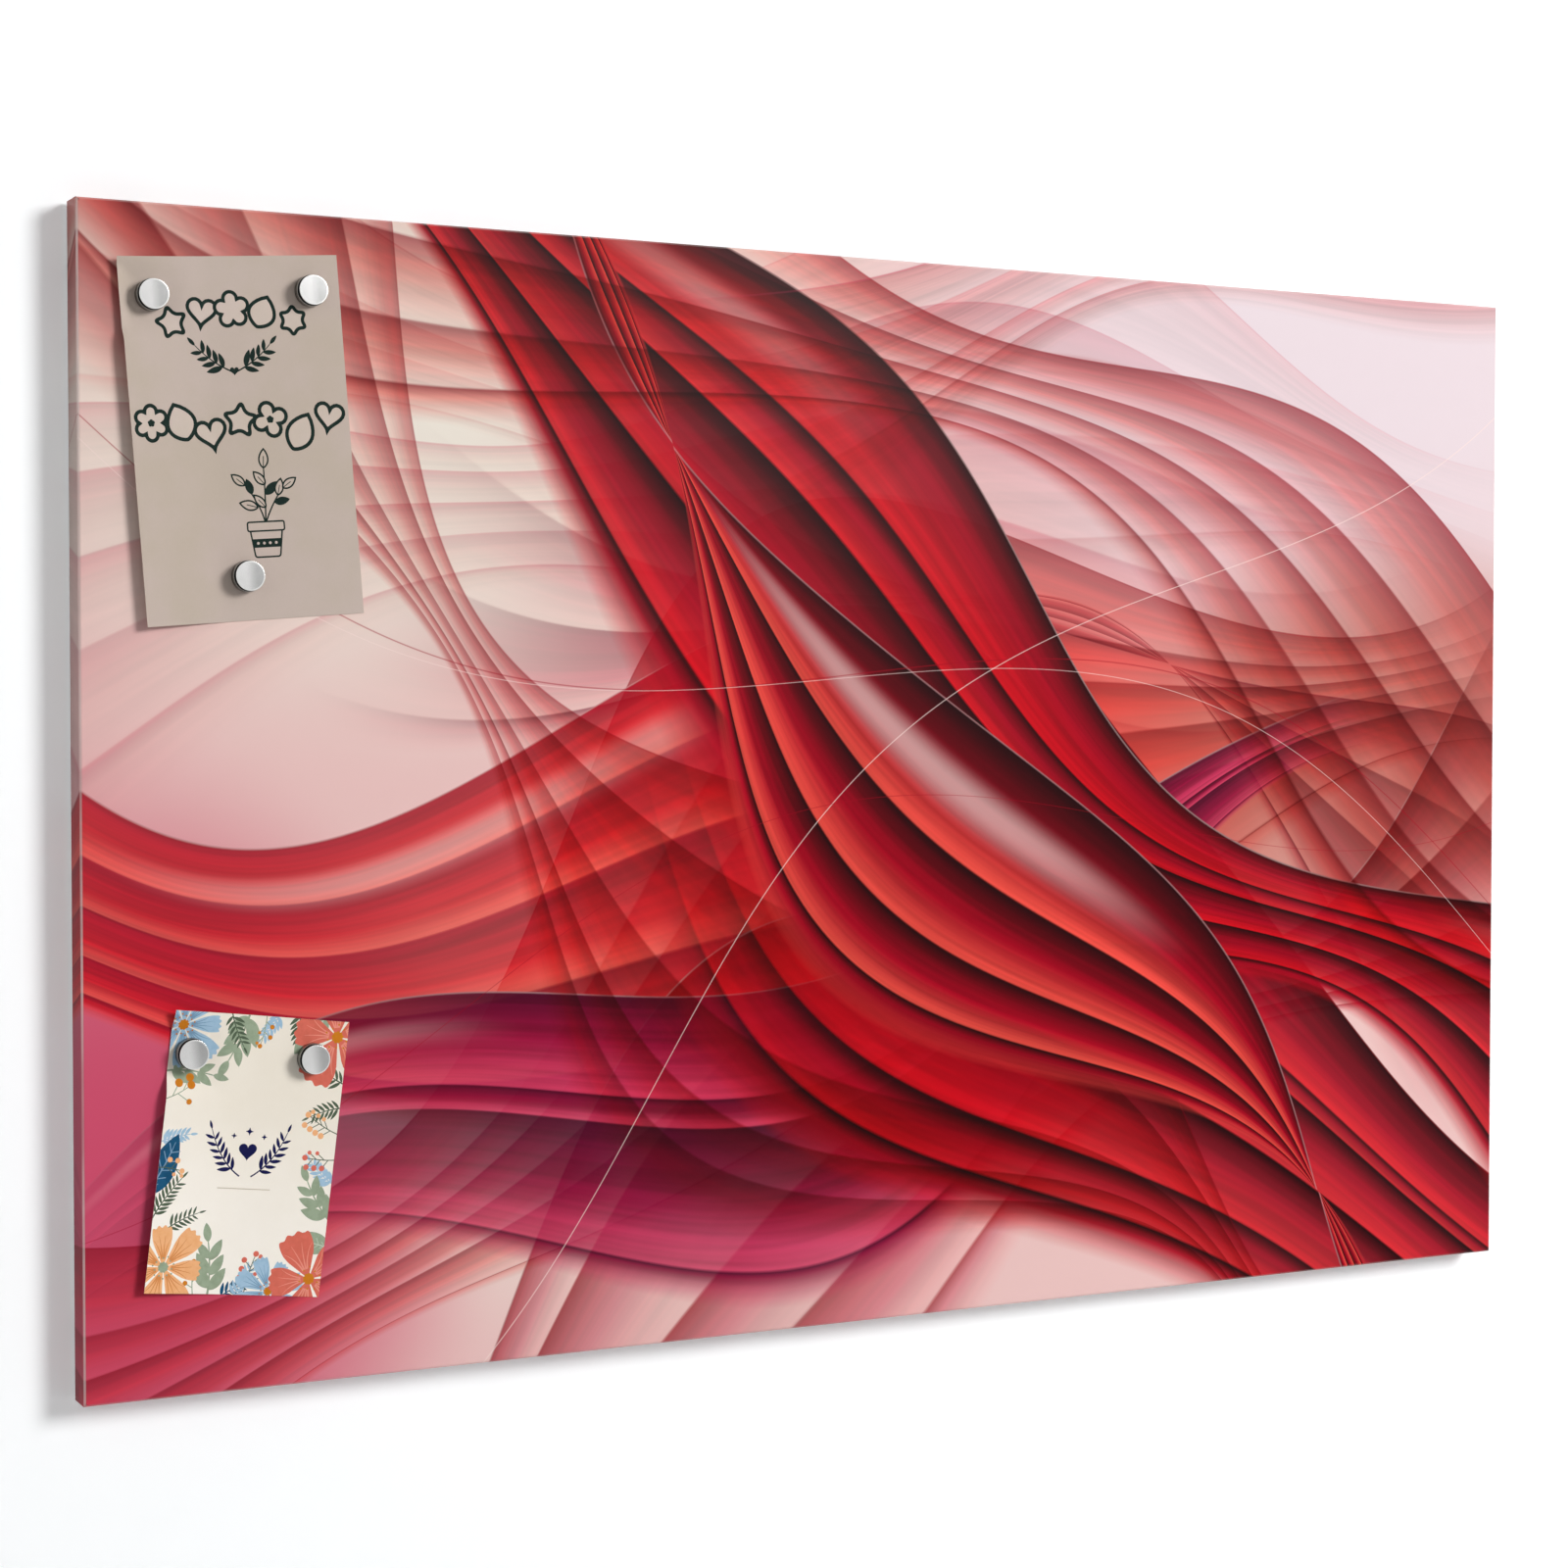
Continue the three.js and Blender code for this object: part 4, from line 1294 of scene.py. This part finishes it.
# Small card's drawing: a border of garden flowers about a navy laurel. Places and lengths in
# millimetres from the card's middle, headings in degrees from upright, positive to the left.
smallCardDrawing = {
    "sprigs": [
        # x, y, length, heading, curve, pairs, leaf, leaf's width share, leaf's lean, ink
        (-49, 40, 26, -80, 0.2, 3, 13.5, 0.44, 42, "sage"),
        (-6, 76, 30, 170, 0.15, 3, 16, 0.44, 42, "sage"),
        (-17, 74, 21, 196, -0.15, 6, 7, 0.26, 58, "fern"),
        (10, 75, 18, 160, 0.2, 6, 6.5, 0.34, 52, "blue"),
        (20, 76, 20, 176, -0.2, 6, 8, 0.28, 56, "fern"),
        (50, 38, 22, 72, 0.2, 6, 7.5, 0.25, 58, "fern"),
        (50, 27, 20, 96, -0.2, 6, 7, 0.25, 58, "fern"),
        (50, -14, 20, 66, 0.25, 6, 7.5, 0.34, 50, "blue"),
        (50, -34, 27, 48, 0.2, 3, 14.5, 0.44, 42, "sage"),
        (-49, 4, 18, -62, 0.2, 6, 6.5, 0.34, 52, "blue"),
        (-48, -36, 27, -24, 0.15, 8, 7.5, 0.25, 56, "fern"),
        (-40, -40, 20, -50, 0.2, 6, 6.5, 0.25, 58, "fern"),
        (-13, -75, 30, -4, -0.15, 3, 16, 0.44, 42, "sage"),
        (-9, -75, 21, -48, 0.2, 6, 7, 0.28, 56, "teal"),
        (0, -76, 22, -14, 0.2, 7, 6.5, 0.3, 54, "blue"),
    ],
    "leaves": [
        # x, y, length, heading, width share, curve, ink, rib ink
        (-52, -22, 34, -34, 0.42, -0.16, "teal", "blueVein"),
        (34, 74, 26, 150, 0.5, 0.1, "sage", "sageVein"),
        (50, -46, 24, 74, 0.48, -0.1, "sage", "sageVein"),
    ],
    "berries": [
        # x, y, length, heading, curve, count, radius, stem ink, ink
        (-49, 26, 17, -74, -0.2, 3, 2.1, "sage", "ochre"),
        (2, 75, 19, 186, 0.2, 4, 1.2, "sage", "ochre"),
        (50, 12, 22, 74, 0.2, 7, 1.6, "fern", "peach"),
        (50, 0, 19, 98, 0.15, 5, 1.5, "fern", "coral"),
        (-49, -8, 15, -84, 0.2, 4, 1.4, "fern", "peach"),
        (6, -75, 25, -2, 0.15, 6, 1.5, "fern", "coral"),
        (-20, -75, 20, 14, 0.15, 4, 1.3, "sage", "ochre"),
    ],
    "flowers": [
        # x, y, size, petals, turn, petal ink, vein ink, centre ink
        (41, 63, 25, 5, 10, "coral", "coralVein", "ochre"),
        (-41, 64, 22, 8, 5, "blue", "blueVein", "ochre"),
        (-38, -58, 22, 7, 8, "peach", "peachVein", "sage"),
        (19, -69, 18, 8, 20, "blue", "blueVein", "ochre"),
        (40, -62, 24, 5, 26, "coral", "coralVein", "ochre"),
    ],
    "laurel": {"fromMiddle": (0, -11), "apart": 3, "length": 27, "heading": 58, "curve": 0.4,
               "pairs": 6, "leaf": 7.6, "wide": 0.3, "lean": 54},
    "heart": (0, 1.5, 5),
    "stars": [(-8, 9.5, 1.7), (0, 12, 2.3), (8, 9.5, 1.7)],
    "rule": [(-14, -17.5), (14, -17.5), (14, -17.05), (-14, -17.05)],
}


def drawSmallCard():
    sheet = []
    kinds = {"sprigs": drawSprig, "leaves": drawBroadLeaf, "berries": drawBerries, "flowers": drawFlower}
    for kind, draw in kinds.items():
        for motif in smallCardDrawing[kind]:
            draw(sheet, *motif)
    drawLaurel(sheet, smallCardDrawing["laurel"], "navy")
    sheet.append(("navy", placed(heartShape(), *smallCardDrawing["heart"])))
    for star in smallCardDrawing["stars"]:
        sheet.append(("navy", placed(starShape(4, 0.35), *star)))
    sheet.append(("rule", smallCardDrawing["rule"]))
    return sheet


# Cards: the free left edge curls off the board, the magnets hold the rest down. Millimetres, degrees.
cardValues = {
    "tall_card": {"width": 115, "height": 183.5, "turn": 4.4, "lift": 5.6, "slot": "taupe_paper"},
    "small_card": {"width": 93, "height": 142.5, "turn": -7, "lift": 4.8, "slot": "cream_card"},
    "thickness": 0.3,
    "cell": 3.2,  # of the grid that lets the card bend
    "curlWidth": 46,  # how far in from the free edge the card lifts
    "curlPower": 1.5,
    "seat": 8.1,  # a magnet's reach, where the card lies flat
    "holdFade": 15,
    "clearOfInk": 0.7,
}


def inside(spots, outline):
    # which spots an outline winds round
    x, y = spots[:, :1], spots[:, 1:]
    fromX, fromY = outline[:, 0], outline[:, 1]
    toX, toY = np.roll(fromX, -1), np.roll(fromY, -1)
    side = (toX - fromX) * (y - fromY) - (x - fromX) * (toY - fromY)
    upward = (fromY <= y) & (toY > y) & (side > 0)
    downward = (toY <= y) & (fromY > y) & (side < 0)
    return (upward.sum(axis=1) - downward.sum(axis=1)) != 0


def inkedTriangles(values, sheet, inkNames):
    # the card's flat grid cut along every outline, each triangle with the ink drawn last on it
    halfWidth, halfHeight = values["width"] / 2, values["height"] / 2
    cell = cardValues["cell"]
    across = np.linspace(-halfWidth, halfWidth, round(values["width"] / cell) + 1)
    upward = np.linspace(-halfHeight, halfHeight, round(values["height"] / cell) + 1)
    rim = [(u, -halfHeight) for u in across[:-1]] + [(halfWidth, v) for v in upward[:-1]]
    rim += [(u, halfHeight) for u in across[:0:-1]] + [(-halfWidth, v) for v in upward[:0:-1]]
    points, edges = [], []
    for outline in [rim] + [outline for ink, outline in sheet]:
        start = len(points)
        points += outline
        edges += [(start + i, start + (i + 1) % len(outline)) for i in range(len(outline))]
    drawn = np.array(points)
    for u in across[1:-1]:
        for v in upward[1:-1]:
            if np.abs(drawn - (u, v)).max(axis=1).min() > cardValues["clearOfInk"]:
                points.append((u, v))
    spots, _, triangles, *_ = delaunay_2d_cdt([Vector(p) for p in points], edges, [], 0, 1e-4)
    spots, triangles = np.array(spots), np.array(triangles)
    centres = spots[triangles].mean(axis=1)
    kept = (abs(centres[:, 0]) < halfWidth) & (abs(centres[:, 1]) < halfHeight)
    triangles, centres = triangles[kept], centres[kept]
    ink = np.zeros(len(triangles), int)
    for name, outline in sheet:
        outline = np.array(outline)
        within = (centres > outline.min(axis=0)) & (centres < outline.max(axis=0))
        near = np.flatnonzero(within.all(axis=1))
        ink[near[inside(centres[near], outline)]] = inkNames.index(name)
    used, index = np.unique(triangles, return_inverse=True)
    return spots[used], index.reshape(-1, 3), ink


def makeCard(card, sheet, cardInks):
    values = cardValues[card]
    spots, triangles, ink = inkedTriangles(values, sheet, list(cardInks))
    turn = math.radians(values["turn"])
    alongCard, upCard = np.array([[math.cos(turn), math.sin(turn)], [-math.sin(turn), math.cos(turn)]])
    middle = middleOf(card)
    centre = np.array((middle.x, middle.z)) / mm
    curlWidth = cardValues["curlWidth"]
    curl = np.clip((curlWidth - (spots[:, 0] + values["width"] / 2)) / curlWidth, 0, 1)
    held = np.ones(len(spots))
    for magnetBody in magnets[card]:
        magnet = middleOf(f"{magnetBody}_cap")
        offset = np.array((magnet.x, magnet.z)) / mm - centre
        away = np.maximum(abs(spots[:, 0] - offset @ alongCard), abs(spots[:, 1] - offset @ upCard))
        fade = np.clip((away - cardValues["seat"]) / cardValues["holdFade"], 0, 1)
        held = np.minimum(held, fade * fade * (3 - 2 * fade))
    lift = values["lift"] * curl ** cardValues["curlPower"] * held
    flat = centre + spots[:, :1] * alongCard + spots[:, 1:] * upCard
    back = np.column_stack((flat[:, 0] * mm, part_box(card)[1].y - lift * mm, flat[:, 1] * mm))
    front = back - (0, cardValues["thickness"] * mm, 0)
    count = len(spots)
    triangles = triangles.tolist()
    faces = [tuple(t) for t in triangles] + [tuple(i + count for i in t[::-1]) for t in triangles]
    uses = Counter(tuple(sorted(edge)) for a, b, c in triangles for edge in ((a, b), (b, c), (c, a)))
    rim = [edge for edge, times in uses.items() if times == 1]
    faces += [(a, b, b + count, a + count) for a, b in rim]
    finishOf = ink.tolist() + [0] * (len(triangles) + len(rim))
    shape = meshObject(f"sheet.{card}", [*front, *back], faces, list(cardInks.values()), finishOf)
    joined(shape, card, values["slot"], [card])
    print(card, "has", len(faces), "faces")


makeCard("tall_card", drawTallCard(), tallCardInks)
makeCard("small_card", drawSmallCard(), smallCardInks)
print("cards made")


# Stage: white wall on the plane the pads touch, open behind the board, and a pale floor below.
# Metres; strengths where 1 renders white.
stageValues = {
    "wallHalf": 12,
    "openingInset": 0.003,
    "floorHeight": -0.9,
    "tint": {"wall": ("f5f7f8", "ffffff"), "floor": ("b4b6b7", "bcbcbc")},
    # added to the wall and floor for the camera and in reflections only, so that they reach white
    "glow": {"wall": 0.18, "floor": 0.74},
    "roughness": (0.85, 0.95),
    "relief": 0.0002,
    "ambient": 0.24,
    "key": {"direction": (0.67, -1.0, 0.45), "distance": 4.0, "size": 1.5, "strength": 0.84},
    "fill": {"direction": (-1.0, -0.75, 0.3), "distance": 4.0, "size": 3.0, "strength": 0.08},
    "rear": {"direction": (-0.6, 1.0, 0.5), "distance": 4.0, "size": 2.0, "strength": 0.5},
}


def cameraRays(start):
    # 1 for the camera, in reflections and through glass, 0 for light on the object
    path = start.node("LightPath")
    kinds = ("Camera", "Glossy", "Transmission")
    camera, glossy, passed = [path.output(f"Is {kind} Ray") for kind in kinds]
    return clamped(camera + glossy + passed)


def stageFinish(part):
    finish, start = newFinish(part + "Paint")
    plaster = noise(objectPlace(start), 40, 4.0)
    tint, light = stageValues["tint"][part]
    colour = blended(tone(tint), tone(light), plaster * 0.3)
    glow = cameraRays(start) * stageValues["glow"][part]
    bump = start.node("Bump", {}, {"Strength": 0.2, "Distance": stageValues["relief"], "Height": plaster})
    shader = start.node("BsdfPrincipled", {}, {
        "Base Color": colour, "Roughness": middling(plaster, *stageValues["roughness"]), "Normal": bump,
        "Emission Color": grey(glow), "Emission Strength": 1.0, "Specular IOR Level": 0.1,
    })
    clear = start.node("BsdfTransparent")
    behind = start.node("NewGeometry").output("Backfacing")
    mixed = start.node("MixShader", {}, {0: behind, 1: shader, 2: clear})
    start.node("OutputMaterial", {}, {"Surface": mixed})
    return finish


def makeStage():
    reach = stageValues["wallHalf"]
    openX, openZ = filmHigh.x - stageValues["openingInset"], filmHigh.z - stageValues["openingInset"]
    floorHeight = stageValues["floorHeight"]
    points, faces = [], []
    for x, low, high in ((reach, floorHeight, reach), (openX, -openZ, openZ)):
        points += [(-x, 0, low), (x, 0, low), (x, 0, high), (-x, 0, high)]
    for i in range(4):
        faces.append((i, (i + 1) % 4, 4 + (i + 1) % 4, 4 + i))
    square = [(x * reach, y * reach, floorHeight) for x, y in ((-1, -1), (1, -1), (1, 1), (-1, 1))]
    for part, spots, sides in (("wall", points, faces), ("floor", square, [(0, 1, 2, 3)])):
        mesh = bpy.data.meshes.new(part)
        mesh.from_pydata(spots, [], sides)
        mesh.materials.append(stageFinish(part))
        made = bpy.data.objects.new(part, mesh)
        bpy.context.scene.collection.objects.link(made)


def makeLamp(name):
    values = stageValues[name]
    direction = Vector(values["direction"]).normalized()
    lamp = bpy.data.lights.new(name, "AREA")
    lamp.shape = "DISK"
    lamp.size = values["size"]
    # a disc of power P lights a facing surface at distance d with P / (pi d d)
    lamp.energy = values["strength"] * math.pi ** 2 * values["distance"] ** 2
    made = bpy.data.objects.new(name, lamp)
    made.location = direction * values["distance"]
    made.rotation_euler = direction.to_track_quat("Z", "Y").to_euler()
    bpy.context.scene.collection.objects.link(made)


def makeWorld():
    world = bpy.data.worlds.new("studio")
    world.use_nodes = True
    world.node_tree.nodes.clear()
    start = Wire(world.node_tree)
    light = start.node("Background", {}, {"Color": (1, 1, 1, 1), "Strength": stageValues["ambient"]})
    seen = start.node("Background", {}, {"Color": (1, 1, 1, 1), "Strength": 1.0})
    mixed = start.node("MixShader", {}, {0: cameraRays(start), 1: light, 2: seen})
    start.node("OutputWorld", {}, {"Surface": mixed})
    bpy.context.scene.world = world


# Camera: left of the board, a little above its middle. Metres.
cameraValues = {
    "place": (-0.8088, -1.4713, 0.0551),
    "right": (0.88798, -0.45988, 0.00035),
    "up": (0.01369, 0.02719, 0.99954),
    "lens": 67.475,
    "sensor": 36,
}


def makeCamera():
    lens = bpy.data.cameras.new("camera")
    lens.lens = cameraValues["lens"]
    lens.sensor_width = cameraValues["sensor"]
    lens.clip_start = 0.01
    lens.clip_end = 100
    made = bpy.data.objects.new("camera", lens)
    right, up = Vector(cameraValues["right"]), Vector(cameraValues["up"])
    turn = Matrix((right, up, right.cross(up))).transposed().to_4x4()
    made.matrix_world = Matrix.Translation(cameraValues["place"]) @ turn
    bpy.context.scene.collection.objects.link(made)
    bpy.context.scene.camera = made


makeStage()
for lampName in ("key", "fill", "rear"):
    makeLamp(lampName)
makeWorld()
makeCamera()
bpy.context.scene.view_settings.view_transform = "Standard"
print("stage made")
